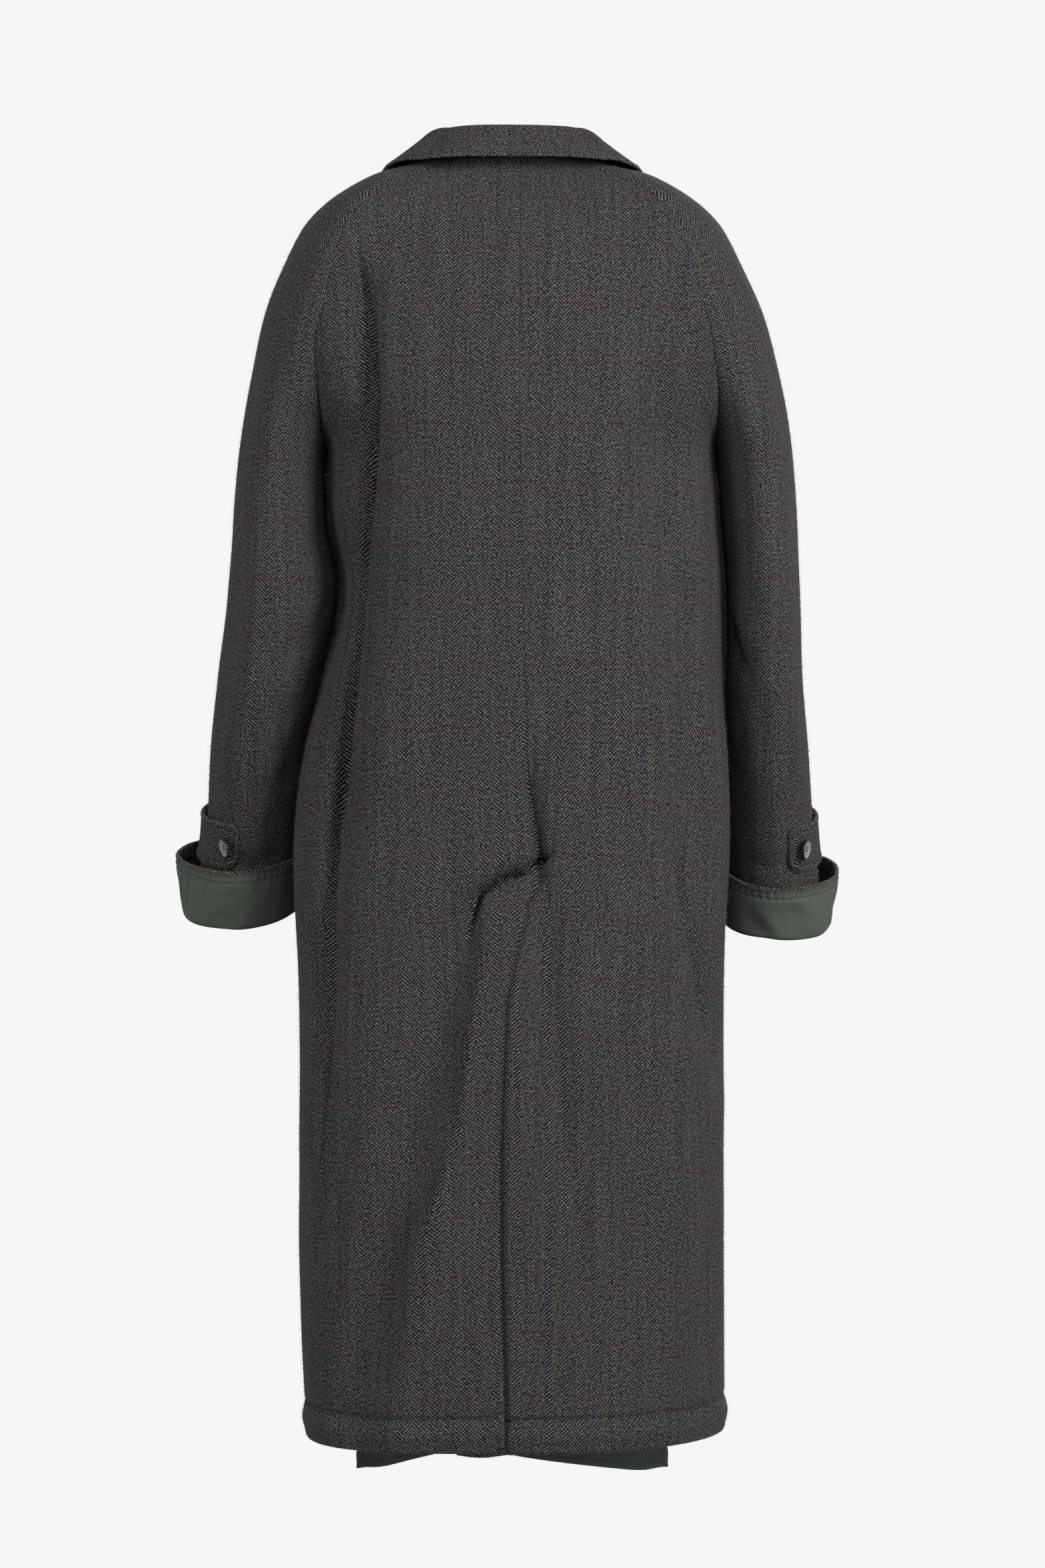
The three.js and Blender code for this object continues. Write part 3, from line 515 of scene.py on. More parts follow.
def brushed_cotton():
    """Green cotton twill, brushed: an even, dry face with faint slanting ribs and paler fibres."""
    rib = 0.0016  # metres: twice the real rib, so that it shows
    made, tree, shader = new_material("brushed green cotton twill")
    cloth = add(tree, "ShaderNodeUVMap", uv_map="cloth").outputs["UV"]
    axes = add(tree, "ShaderNodeSeparateXYZ", {0: cloth})
    slant = add(tree, "ShaderNodeMath", {0: axes, 1: 0.7, 2: axes.outputs[1]}, operation="MULTIPLY_ADD")
    ribs = add(tree, "ShaderNodeMath", {0: slant, 1: rib / 2}, operation="PINGPONG")
    height = add(tree, "ShaderNodeMapRange", {"Value": ribs, "From Max": rib / 2, "To Max": 0.5})
    brushed = add(tree, "ShaderNodeTexNoise", {"Vector": cloth, "Scale": 520, "Detail": 4, "Roughness": 0.7})
    both = add(tree, "ShaderNodeMath", {0: height, 1: brushed}, operation="ADD")
    tone = add(tree, "ShaderNodeMapRange", {"Value": both, "From Min": 0.4, "From Max": 1.1})
    colour = add(
        tree, "ShaderNodeMix",
        {"Factor": tone, "A": linear("3A4039"), "B": linear("595F57")},
        data_type="RGBA",
    )
    bump = add(tree, "ShaderNodeBump", {"Height": both, "Strength": 0.35, "Distance": 0.0003})
    feed(tree, shader, {
        "Base Color": colour, "Normal": bump, "Roughness": 0.88,
        "Specular IOR Level": 0.3, "Sheen Weight": 0.12, "Sheen Tint": linear("9AA69B"),
    })
    return made


def uneven(u, v, lively=1.0):
    """The cloth's own slow unevenness, in millimetres."""
    broad = np.sin(u / 43 + 1.3) * np.sin(v / 88 + 0.4) + 0.7 * np.sin(u / 31 - v / 67 + 2.1)
    fine = 0.35 * np.sin(u / 17 + v / 29) * np.sin(v / 41 - u / 53 + 0.8)
    return lively * (broad + fine)


def creased(grid, normals, depth):
    """A grid moved inwards by a depth, and its new outward directions."""
    moved = grid - normals * depth[..., None]
    turned = unit(across_normals(moved))
    return moved, turned * np.sign(np.sum(turned * normals, axis=-1, keepdims=True))


def cut(u, v, grid):
    """The flat size of a piece in metres, and its area in square metres."""
    side, drop = grid[:-1, 1:] - grid[:-1, :-1], grid[1:, :-1] - grid[:-1, :-1]
    area = np.linalg.norm(np.cross(side, drop), axis=-1).sum() / 1e6
    flat = (np.ptp(u) / 1000, np.ptp(v) / 1000)
    return {"flat": flat, "area": min(area, flat[0] * flat[1])}


wool = woollen()
cotton = brushed_cotton()
yoke_q = np.linspace(0, 1, yoke_count)
shapes = {}  # each piece's grid, its outward directions and its cloth distances
faces = {}  # each piece's outer and inner face
sewn_fade = 24  # creases run out this far from a sewn edge
sleeve_shift = 70  # so that the sleeves aren't uneven in the same places
sleeve_lively = 0.8

# Creases down the sleeves. Across is 0 on the over-arm line, under 0 behind and over 0 before it.
# Down is 0 at the armpit. Each has its depth, its width to each side, its sharpness and its path.
sleeve_creases = {
    -1: (
        (2.6, 12, 12, 2, ((-42, -60), (-46, 120), (-40, 260), (-34, 400))),
        (-4, 11, 11, 2, ((-80, 40), (-84, 220), (-72, 400))),
        (3.5, 9, 15, 1.6, ((-186, 118), (-158, 165), (-122, 190), (-96, 196))),
        (2.6, 12, 12, 2, ((-176, 205), (-140, 240), (-100, 262))),
        (2, 10, 12, 2, ((-160, 300), (-120, 328), (-74, 340))),
        (2.4, 8, 12, 2, ((-140, 396), (-96, 412), (-44, 398))),
        (2, 20, 20, 2, ((-70, -220), (-96, -110), (-118, 10))),
        (3, 14, 14, 2, ((60, -30), (82, 140), (74, 300), (62, 420))),
        (3.4, 10, 14, 1.6, ((172, 100), (130, 158), (84, 182))),
        (3, 10, 12, 1.6, ((168, 180), (120, 218), (70, 224))),
        (2.4, 12, 10, 2, ((150, 286), (104, 304), (52, 332))),
        (2, 18, 18, 2, ((54, -200), (84, -100), (108, 0))),
    ),
    1: (
        (7.5, 6, 9, 1.3, ((-176, 148), (-150, 178), (-122, 205), (-98, 228))),
        (-3, 12, 16, 2, ((-168, 112), (-132, 158), (-92, 190))),
        (3, 12, 14, 2, ((-104, 214), (-92, 262), (-84, 322))),
        (2.4, 12, 12, 2, ((-172, 250), (-140, 300), (-128, 360))),
        (-2, 16, 14, 2, ((-58, -40), (-60, 180), (-50, 400))),
        (2, 12, 12, 2, ((-30, 20), (-34, 190), (-28, 330))),
        (2.2, 8, 12, 2, ((-136, 402), (-88, 416), (-40, 404))),
        (2, 20, 20, 2, ((-74, -210), (-104, -90), (-120, 16))),
        (3, 14, 14, 2, ((56, -10), (76, 150), (66, 310), (58, 430))),
        (3.6, 10, 14, 1.6, ((160, 120), (118, 172), (72, 190))),
        (2.6, 10, 12, 1.6, ((160, 214), (110, 240), (60, 238))),
        (2, 18, 18, 2, ((52, -190), (80, -90), (104, 4))),
    ),
}

for sign in (-1, 1):
    arm = np.linspace(armpit_along, sleeve_ends[sign], arm_count)[1:]
    alongs = np.concatenate([yoke_q * armpit_along, arm])[:, None]
    start = read(sleeve, "along", "seamBack", alongs)
    stop = 360 - read(sleeve, "along", "seamFront", alongs)
    grid = evenly(lambda t: sleeve_point(sign, alongs, start + (stop - start) * t), sleeve_columns)
    normals = outward(grid, grid.mean(axis=1, keepdims=True))
    lengths = along_cloth(grid)
    u, v = measured(grid, lengths[:, -1] / 2, yoke_count - 1)
    from_seams = np.minimum(lengths, lengths[:, -1:] - lengths)
    depth = crease_depth(u, v, sleeve_creases[sign]) + uneven(u + sleeve_shift * sign, v, sleeve_lively)
    grid, normals = creased(grid, normals, depth * ease(from_seams / sewn_fade))
    shapes["sleeve", sign] = [grid, normals, u, v]


# Backs and fronts: four panels of the same double cloth. The backs are joined by a centre seam
# that opens into a vent, the left over the right, and each front wraps past the centre line.
hem_down = 1239
armpit_down = -sleeve_point(1, armpit_along, 0)[2]
front_drop = 74
drop = {-1: (1.1, 2.4), 1: (1, 1)}  # how soon and how roundly each front hem drops to its corner
swell_start, swell_rise, swell_end, swell_fall = 5, 40, 120, 60
front_layer = 6.5
front_step_from = 34
front_step_wide = 24
yoke_power = 2.5
seam_gap = -0.2  # the folded edges press together
sink_full = 2
sink_reach = 7
underlap_peek = 4.5  # the underlap shows under the left back's rounded corner
underlap_middle = -30
underlap_wide = 26
underlap_low = 4  # powers: how near the hem both changes lie
vent_corner_low = 40
vent_corner_lift = 6
vent_corner_wide = 9
panel_columns = {"back": 84, "front": 66}
navy_at, red_at = -11, -34.5  # a thread of the check, from the centre back and the armpit
check_droop, droop_from, droop_fall = 0.14, 190, 190  # the check hangs lower towards the sides
settle_rows = 26
settle_columns = 5
settle_rounds = 45
settle_pull = 0.8

# The yoke, by the distance along the raglan seams: its middle behind and before, and its spread.
yoke = table(
    "along backY backZ frontY frontZ spread",
    (0, -76, 17, 60, -68, 0.75),
    (50, -106, -28, 74, -92, 0.6),
    (95, -126, -62, 86, -118, 0.55),
    (145, -140, -100, 95, -146, 0.6),
    (190, -149, -140, 102, -172, 0.67),
    (240, -153, -185, 109, -204, 0.76),
    (300, -156, -232, 114, -241, 0.87),
    (345, -157.5, -262, 117, -266, 0.96),
    (385, -158, -287, 119, -287, 1),
)
# The skirt, by the distance down: half widths, reach behind and before, how square each side is,
# and how far the cloth swells out before and behind.
trunk = table(
    "down right left back front powerRight powerLeft powerFront bulge behind",
    (287, 205, 187, 158, 119, 2.5, 2.5, 3, 20, 0),
    (310, 206, 185, 159, 121, 2.5, 2.5, 3, 32, 0),
    (345, 207, 183, 161, 124, 2.5, 2.5, 3, 17, 0),
    (400, 212, 171, 162, 128, 2.5, 2.5, 2.9, 16, 0),
    (440, 212, 175, 163, 131, 2.5, 2.5, 2.9, 17, 0),
    (495, 211, 189, 164, 135, 2.5, 2.6, 2.8, 23, 0),
    (575, 209, 203, 165, 140, 2.5, 2.7, 2.7, 12, 6),
    (650, 209, 208, 166, 145, 2.5, 2.8, 2.7, 0, 9),
    (740, 211, 212, 168, 149, 2.5, 3, 2.7, 0, 3),
    (850, 211, 212, 170, 153, 2.5, 3.1, 2.7, 0, 0),
    (1050, 211, 211, 173, 157, 2.4, 3.3, 2.7, 0, 0),
    (1239, 212, 205, 176, 160, 2.3, 3.5, 2.7, 0, 0),
)
# The centre back: the left back's edge, how far the right back laps under it, and how deep.
centre_back = table(
    "down edge lap sink",
    (-8, 8, 0, 0),
    (200, 7, 0, 0),
    (580, 15, 0, 0),
    (674, 26, 0, 3.8),
    (722, 13, 45, 3.8),
    (822, -7, 45, 4.4),
    (1000, -12, 45, 5),
    (1239, -7, 46, 5),
)
# The long folds at the sides of the backs, where the columns of points lie closer.
side_fold = table(
    "down left right",
    (-8, -60, 60), (50, -150, 100), (141, -138, 170), (229, -134, 172), (347, -142, 172), (450, -149, 172),
    (549, -160, 172), (645, -171, 172), (706, -176, 170), (760, -178, 180), (830, -180, 191),
    (930, -180, 198), (1050, -178, 194), (1239, -176, 186),
)
hook_at = -36  # where the crease over the vent turns down
front_lap = table("down lap", (60, 38), (287, 62), (700, 108), (1239, 162))


def nominal_down(q):
    """How far down a row hangs at the centre back. q: 0 at the neck, 1 at the armpit, 2 the hem."""
    in_yoke = -read(yoke, "along", "backZ", armpit_along * np.clip(q, 0, 1))
    return np.where(q <= 1, in_yoke, armpit_down + (hem_down - armpit_down) * (q - 1))


def half_section(face, q, sign):
    """Half a section of the trunk: its middle, the seam where it ends, and its roundness."""
    back = face == "back"
    along = armpit_along * np.clip(q, 0, 1)
    down = nominal_down(q)
    cut = read(sleeve, "along", "seamBack" if back else "seamFront", along)
    seam = sleeve_point(sign, along, cut if back else 360 - cut)
    side = "left" if sign < 0 else "right"
    bend = "power" + side.capitalize() if back else "powerFront"
    reach = read(trunk, "down", face, down) * (-1 if back else 1)

    def pick(in_yoke, in_skirt):
        return np.where(q <= 1, in_yoke, in_skirt)

    return {
        "midY": pick(read(yoke, "along", face + "Y", along), reach),
        "midZ": pick(read(yoke, "along", face + "Z", along), -down),
        "seamX": pick(abs(seam[..., 0]), read(trunk, "down", side, down)),
        "seamY": pick(seam[..., 1], 0),
        "seamZ": pick(seam[..., 2], -down),
        "spread": pick(read(yoke, "along", "spread", along), 1),
        "power": pick(yoke_power, read(trunk, "down", bend, down)),
    }


def trunk_point(face, sign, q, x):
    """A point of a trunk panel at x on the row q."""
    left, right = half_section(face, q, -1), half_section(face, q, 1)
    half = {name: np.where(x < 0, left[name], right[name]) for name in left}

    def bulge(share):
        power = half["power"]
        return 1 - np.maximum(0, 1 - (half["spread"] * share) ** power) ** (1 / power)

    share = abs(x) / half["seamX"]
    y = half["midY"] + (half["seamY"] - half["midY"]) * bulge(share) / bulge(1)
    z = half["midZ"] + (half["seamZ"] - half["midZ"]) * share**2
    if face == "front":
        lap = front_lap["lap"][-1]
        start, power = drop[sign]
        gone = np.clip((sign * x + lap) / (half["seamX"] + lap), 0, 1)
        z = z - front_drop * np.maximum(0, 1 - (start * gone) ** power) * np.clip(q - 1, 0, 1)
        z = z + corner_lift * bell(sign * x + lap, corner_wide) * np.clip(q - 1, 0, 1)
        swell = ease((y - swell_start) / swell_rise) * ease((swell_end - y) / swell_fall)
        x = x + np.sign(x) * swell * read(trunk, "down", "bulge", nominal_down(q)) * (q > 1)
    else:
        swell = ease((-y - swell_start) / swell_rise) * ease((swell_end + y) / swell_fall)
        x = x + np.sign(x) * swell * read(trunk, "down", "behind", nominal_down(q)) * (q > 1)
    return draped(np.stack(np.broadcast_arrays(x, y, z), axis=-1))


def trunk_panel(face, sign, q):
    """A panel's outer face, a row for each q, from the centre line to the side."""
    down = nominal_down(q)
    if face == "front":
        edge = -sign * read(front_lap, "down", "lap", down)
    else:
        edge = read(centre_back, "down", "edge", down)
        lap = read(centre_back, "down", "lap", down)
        edge = edge - seam_gap / 2 if sign < 0 else edge - lap + seam_gap / 2
    reach = {}
    for s in (-1, 1):
        half = half_section(face, q, s)
        reach[s] = half["seamX"] / half["spread"]

    def to_angle(x):
        return np.arcsin(np.clip(abs(x) / np.where(x < 0, reach[-1], reach[1]), 0, 1)) * np.sign(x)

    seam = half_section(face, q, sign)
    first, last = to_angle(edge), to_angle(sign * seam["seamX"])

    def curve(t):
        angle = first + (last - first) * t
        x = np.sin(angle) * np.where(angle < 0, reach[-1], reach[1])
        return trunk_point(face, sign, q, x)

    sharp_at = None
    if face == "back":
        side_folds = read(side_fold, "down", "left" if sign < 0 else "right", down)[:, 0]
        middle = np.full(len(q), hook_at) if sign < 0 else read(centre_back, "down", "edge", down)[:, 0]
        sharp_at = [side_folds, middle]
    grid = evenly(curve, panel_columns[face], sharp_at)
    in_yoke = q[:, 0] <= 1
    ends = np.concatenate([sign * seam["seamX"], seam["seamY"], seam["seamZ"]], axis=1)
    grid[in_yoke, -1] = ends[in_yoke]
    if face == "back" and sign > 0:
        edge = read(centre_back, "down", "edge", down)
        sink = read(centre_back, "down", "sink", down)
        grid[..., 1] += sink * ease((edge + sink_reach - grid[..., 0]) / (sink_reach - sink_full))
        peek = bell(grid[..., 0] - underlap_middle, underlap_wide)
        grid[..., 2] -= underlap_peek * peek * np.clip(q - 1, 0, 1) ** underlap_low
    if face == "back" and sign < 0:
        lift = bell(grid[..., 0] - edge[:, :1], vent_corner_wide)
        grid[..., 2] += vent_corner_lift * lift * np.clip(q - 1, 0, 1) ** vent_corner_low
    if face == "front" and sign < 0:
        lap = read(front_lap, "down", "lap", down)
        grid[..., 1] += front_layer * ease((grid[..., 0] + lap + front_step_from) / front_step_wide)
    return grid


def settled(grid):
    """Evens the rows near the armpit, where the yoke runs into the skirt."""
    level = bell(np.arange(len(grid)) - yoke_count, settle_rows)
    column = np.arange(grid.shape[1]) - len(edge_roll)
    inside = ease(column / settle_columns) * ease(column[::-1] / settle_columns)
    weight = (level[:, None] * inside)[1:-1, :, None]
    for _ in range(settle_rounds):
        grid[1:-1] += settle_pull * weight * ((grid[:-2] + grid[2:]) / 2 - grid[1:-1])
    return grid


dense_rows = (650, 745)  # closer rows, where the sharp crease over the vent lies
hem_rows_from = 1180
skirt_levels = np.concatenate([
    np.linspace(armpit_down, dense_rows[0], 95)[1:],
    np.linspace(*dense_rows, 71)[1:],
    np.linspace(dense_rows[1], hem_rows_from, 98)[1:],
    np.linspace(hem_rows_from, hem_down - edge_roll[-1], 29)[1:],
    hem_down - edge_roll[-2::-1],
])
skirt_q = 1 + (skirt_levels - armpit_down) / (hem_down - armpit_down)
trunk_q = np.concatenate([yoke_q, skirt_q])[:, None]

# Creases in the backs and the fronts, by their places across and up, as the sleeves' are.
vent_hook = ((25, -675), (14, -683), (-10, -691), (-30, -705), (-38, -724))  # the sharp one over the vent
panel_creases = {
    "back": (
        (5, 2.6, 2.6, 1.6, ((10, -570), (15, -600), (21, -640), (26, -676), (28, -694))),
        (7, 20, 4, 1.2, ((42, -664), *vent_hook, (-42, -760))),
        (11, 2.4, 2.2, 2, ((48, -660), *vent_hook, (-42, -764))),
        (-4, 13, 18, 2, ((26, -658), (-6, -668), (-34, -688), (-52, -712))),
        (-4, 14, 14, 2, ((-13, -700), (-22, -763), (-26, -827), (-31, -869))),
        (4, 16, 16, 2, ((30, -679), (30, -763), (37, -838), (41, -933), (54, -975))),
        (-9, 28, 5, 1.4, ((-22, -740), (-31, -789), (-43, -869), (-52, -933), (-64, -975), (-88, -1039),
                          (-104, -1123), (-124, -1180))),
        (7, 2.6, 4, 1.6, ((-160, -20), (-138, -141), (-134, -229), (-142, -347), (-149, -450))),
        (9, 2.6, 5, 1.6, ((-134, -229), (-142, -347), (-149, -450), (-160, -549), (-171, -645),
                          (-176, -706))),
        (7, 2.6, 5, 1.6, ((-160, -549), (-171, -645), (-176, -706), (-180, -860), (-182, -960))),
        (6, 3, 8, 1.6, ((-176, -706), (-181, -800), (-184, -900), (-184, -1010), (-180, -1120))),
        (8, 3.2, 18, 1.3, ((-158, -60), (-151, -93), (-138, -141), (-134, -229), (-136, -278), (-142, -347),
                           (-146, -401), (-149, -450), (-154, -500), (-160, -549), (-162, -599), (-171, -645),
                           (-176, -706), (-178, -807))),
        (5.5, 22, 24, 2, ((157, -74), (158, -210), (140, -300), (132, -410))),
        (-3.4, 9, 9, 2, ((181, -107), (183, -209))),
        (5, 5, 5, 1.6, ((176, -1100), (184, -1170), (188, -1250))),
        (4, 5, 5, 1.6, ((192, -1100), (197, -1170), (201, -1250))),
        (12, 9, 3, 1.5, ((148, -600), (166, -700), (179, -760), (191, -830), (199, -880), (200, -930))),
        (9, 9, 3, 1.5, ((200, -900), (199, -970), (195, -1040), (190, -1120), (186, -1200))),
        (4, 26, 22, 2, ((92, -740), (112, -960), (124, -1190))),
        (-3.4, 22, 22, 2, ((146, -800), (160, -1010), (158, -1200))),
        (4, 5, 9, 1.6, ((-166, -700), (-170, -780), (-178, -860), (-182, -960))),
        (1.8, 14, 14, 2, ((-138, -300), (-112, -336), (-84, -352))),
        (2, 14, 16, 2, ((150, -330), (124, -372), (92, -392))),
        (2.6, 9, 14, 2, ((-150, -880), (-168, -1040), (-176, -1190))),
        (1.6, 20, 20, 2, ((60, -430), (72, -540), (66, -650))),
        (1.6, 22, 22, 2, ((-70, -400), (-62, -520), (-72, -630))),
    ),
    "front": (
        (4.2, 14, 22, 1.8, ((-150, -330), (-122, -480), (-130, -640), (-108, -820))),
        (3.6, 18, 12, 2, ((150, -340), (128, -520), (142, -700), (118, -870))),
        (-3.2, 16, 18, 2, ((-62, -600), (-76, -860), (-66, -1190))),
        (4.2, 20, 14, 2, ((90, -700), (110, -960), (102, -1240))),
        (3, 10, 16, 1.6, ((-120, -900), (-134, -1100), (-126, -1270))),
        (-3, 14, 18, 2, ((150, -860), (166, -1060), (160, -1250))),
        (2.6, 12, 12, 2, ((26, -270), (66, -352), (124, -398))),
        (2.4, 12, 14, 2, ((-40, -262), (-84, -344), (-136, -382))),
        (3, 8, 14, 1.5, ((16, -610), (58, -664), (112, -676))),
        (2.4, 14, 10, 2, ((6, -480), (-40, -540), (-96, -552))),
        (3.4, 18, 12, 2, ((178, -700), (186, -900), (180, -1120))),
        (3.2, 12, 18, 2, ((-176, -780), (-190, -960), (-182, -1150))),
    ),
}
hem_stitch = 32  # up from the edge
hem_groove = 3
hem_groove_wide = 2.4
hem_swell = 3
hem_swell_wide = 9
corner_lift = 7  # the lower front corners are rounded a little
corner_wide = 18

for face in ("back", "front"):
    for sign in (-1, 1):
        grid = trunk_panel(face, sign, trunk_q)
        centre = np.zeros((len(grid), 1, 3))
        centre[..., 2] = grid[..., 2].mean(axis=1, keepdims=True)
        grid = settled(grid)
        normals = outward(grid, centre)
        u, v = measured(grid, -sign * grid[:, 0, 0], yoke_count - 1)
        droop = check_droop * abs(u) * ease((v - droop_from) / droop_fall)
        across = along_cloth(grid)
        up = along_cloth(grid.swapaxes(0, 1)).T
        up = up[-1:] - up
        depth = crease_depth(grid[..., 0], grid[..., 2], panel_creases[face])
        depth += uneven(grid[..., 0], grid[..., 2])
        depth *= ease((across[:, -1:] - across) / sewn_fade)
        depth += hem_groove * bell(up - hem_stitch, hem_groove_wide)
        depth -= hem_swell * bell(up - hem_stitch / 2, hem_swell_wide)
        grid, normals = creased(grid, normals, depth)
        shapes[face, sign] = [grid, normals, sign * u - navy_at, v - red_at - droop]

for (kind, sign), (grid, normals, u, v) in shapes.items():
    side = "left" if sign < 0 else "right"
    first = seam_roll if kind == "sleeve" else edge_turn
    depth = rolled(grid, (first, seam_roll, seam_roll, edge_turn))
    outer = grid - normals * depth[..., None]
    inner = grid - normals * wall
    faces[kind, sign] = (outer, inner)
    piece = cloth_mesh(f"{kind}_{side}_cloth", outer, inner, np.stack([u, v], -1), [wool, cotton])
    fitted(piece, f"{kind}_{side}")


# Collar: one piece of the double cloth on the neck edge, wool outside and cotton under its fall.
# It stands up, folds over and falls to a topstitched edge, with a point at each front.
collar_columns = 236
collar_rows = 44
collar_clear = 3
collar_gap = 0.3
neck_turn = 2.0
neck_rounds = 12  # how often the directions out of the neck edge are evened
neck_centre = np.array([0, -8, 0])
inside_collar = np.array([0, 0, 20])  # from the neck's middle to a point within the collar

collar = table(
    "angle rise foldOut edgeOut edgeRise spread",
    (0, 28.5, 5, 26, -4, 0),
    (50, 28, 7, 42, -5, 0),
    (90, 22, 9, 58, -7, 0),
    (112, 20, 9, 60, -12, 0),
    (130, 22, 8, 62, -16, 0),
    (160, 14, 7, 58, -48, 12),
    (180, 11, 7, 54, -64, 30),
)
# The profile: shares of the way out and up to the fold, then out and down to the edge.
stand_steps = ((0.05, 0.4), (0.3, 0.84), (0.65, 1))
fall_steps = ((0.13, 0.05), (0.34, 0.28), (0.67, 0.64), (1, 1))


def spline(points, count):
    """A smooth curve through rows of points, as count rows."""
    ends = [2 * points[:1] - points[1:2], points, 2 * points[-1:] - points[-2:-1]]
    p = np.concatenate(ends)
    at = np.linspace(0, len(points) - 1 - 1e-9, count)
    i = at.astype(int)
    t = (at - i).reshape(-1, *[1] * (points.ndim - 1))
    a, b, c, d = p[i], p[i + 1], p[i + 2], p[i + 3]
    return b + 0.5 * t * (c - a + t * (2 * a - 5 * b + 4 * c - d + t * (3 * (b - c) + d - a)))


def neck_edge():
    """The neck edge, from the left front round the back to the right front."""
    parts = []
    route = [("front", -1, 1), ("sleeve", -1, -1), ("back", -1, -1)]
    route += [("back", 1, 1), ("sleeve", 1, 1), ("front", 1, -1)]
    for kind, sign, order in route:
        grid, normals = shapes[kind, sign][:2]
        up = grid[0] - grid[2]
        up = unit(up - normals[0] * np.sum(up * normals[0], axis=1, keepdims=True))
        point = grid[0] - normals[0] * wall / 2 + up * collar_gap
        part = np.concatenate([point, normals[0], up], axis=1)[::order]
        parts.append(part[part[:, 0] * sign > collar_clear] if kind == "front" else part)
    edge = np.concatenate(parts)
    length = along_cloth(edge[None, :, :3])[0]
    even = np.linspace(0, length[-1], collar_columns)
    edge = np.stack([np.interp(even, length, column) for column in edge.T], axis=1)
    for _ in range(neck_rounds):
        edge[1:-1, 3:] += 0.5 * ((edge[:-2, 3:] + edge[2:, 3:]) / 2 - edge[1:-1, 3:])
    return edge[:, :3], unit(edge[:, 3:6]), unit(edge[:, 6:])


foot, foot_out, foot_up = neck_edge()
spoke = unit((foot - neck_centre) * (1, 1, 0))
turn = np.degrees(np.arccos(np.clip(-spoke[:, 1], -1, 1)))
fold_out, edge_out, rise, edge_rise, spread = (
    read(collar, "angle", name, turn) for name in ("foldOut", "edgeOut", "rise", "edgeRise", "spread")
)


def off_neck(far, high, swing):
    moved = foot + spoke * far[:, None]
    moved[:, 0] += np.sign(foot[:, 0]) * swing
    moved[:, 2] += high
    return moved


profile = [foot, foot + foot_up * neck_turn]
for out, up in stand_steps:
    profile.append(off_neck(fold_out * out, rise * up, 0))
for out, down in fall_steps:
    far = fold_out + (edge_out - fold_out) * out
    profile.append(off_neck(far, rise + (edge_rise - rise) * down, spread * down))
grid = spline(np.array(profile), collar_rows)
normals = outward(grid, neck_centre + inside_collar)
normals[0] = foot_out * np.sign(np.sum(normals[0] * foot_out))
depth = rolled(grid, (edge_turn, edge_turn, 0, edge_turn))[..., None]
outer = grid + normals * (wall / 2 - depth)
inner = grid - normals * (wall / 2 - depth / 2)
faces["collar", 0] = (outer, inner)
u, v = measured(grid, along_cloth(grid)[:, collar_columns // 2], 0)
piece = cloth_mesh("collar_cloth", outer, inner, np.stack([u, v], -1), [wool, cotton])
fitted(piece, "collar")


# Cuffs: each sleeve's end turned outwards and up over itself, so that the green cotton shows and
# the wool is inside. Two rows of stitches run under the rim, and the cotton puckers along them.
cuff_height = 57
cuff_columns = 190
cuff_rows = 52
cuff_axis = 60
cuff_flare = {-1: 20, 1: 15}
cuff_taller_behind = {-1: 0.17, 1: 0}  # shares of the height, where the turn-up isn't even
cuff_shorter_before = {-1: 0, 1: 0.2}
# Each step: how far out of the sleeve's middle, how high above its end, and its share of the flare.
cuff_steps = (
    (0, -0.4, 0), (0, -3, 0), (2.6, -6, 0), (5.4, -3.5, 0), (6, 4, 0.15),
    (6, 0.5 * cuff_height, 0.65), (6, cuff_height - 6, 1),
)
cuff_stitches = (4.5, 11)  # under the rim
cuff_groove = 1.5
cuff_groove_wide = 1.3
cuff_crease_gain = 1.7
cuff_waves = (1.7, 2.4)  # how much shorter the cuffs' unevenness is, across and down
cuff_shift = 40
cuff_lively = 1.5
shorter_turn = 0.5  # radians from the under-arm line to where the shorter part begins
pucker_deep = 0.8
pucker_long = 1.15
pucker_wide = 5
pucker_drift = 1.6
drift_long = 23
turn_clear = 14  # the cloth is plain this far from where it turns up
# Creases in the cuffs, by their distances round them from the under-arm line and under the rim.
cuff_creases = {
    -1: (
        (2.2, 2.6, 5, 1.5, ((170, 1), (172, 20), (174, 44), (176, 66))),
        (1.8, 6, 3, 1.6, ((186, 6), (192, 26), (190, 46), (180, 62))),
        (1.2, 12, 12, 2, ((120, 20), (110, 34), (92, 44))),
        (-1, 14, 14, 2, ((90, 26), (70, 30), (50, 40))),
        (1.2, 14, 10, 2, ((130, 44), (112, 58), (96, 62))),
        (1.6, 8, 14, 2, ((300, 6), (306, 30), (298, 60))),
        (1.4, 14, 10, 2, ((370, 8), (362, 34), (372, 60))),
    ),
    1: (
        (1.2, 12, 12, 2, ((124, 18), (112, 34), (88, 40))),
        (1.4, 12, 10, 2, ((60, 24), (76, 42), (92, 60))),
        (-1, 14, 14, 2, ((150, 22), (140, 40), (128, 60))),
        (1.8, 5, 9, 1.6, ((186, 2), (184, 24), (188, 60))),
        (1.6, 8, 14, 2, ((286, 6), (294, 30), (286, 60))),
        (1.4, 14, 10, 2, ((356, 8), (346, 34), (358, 60))),
    ),
}

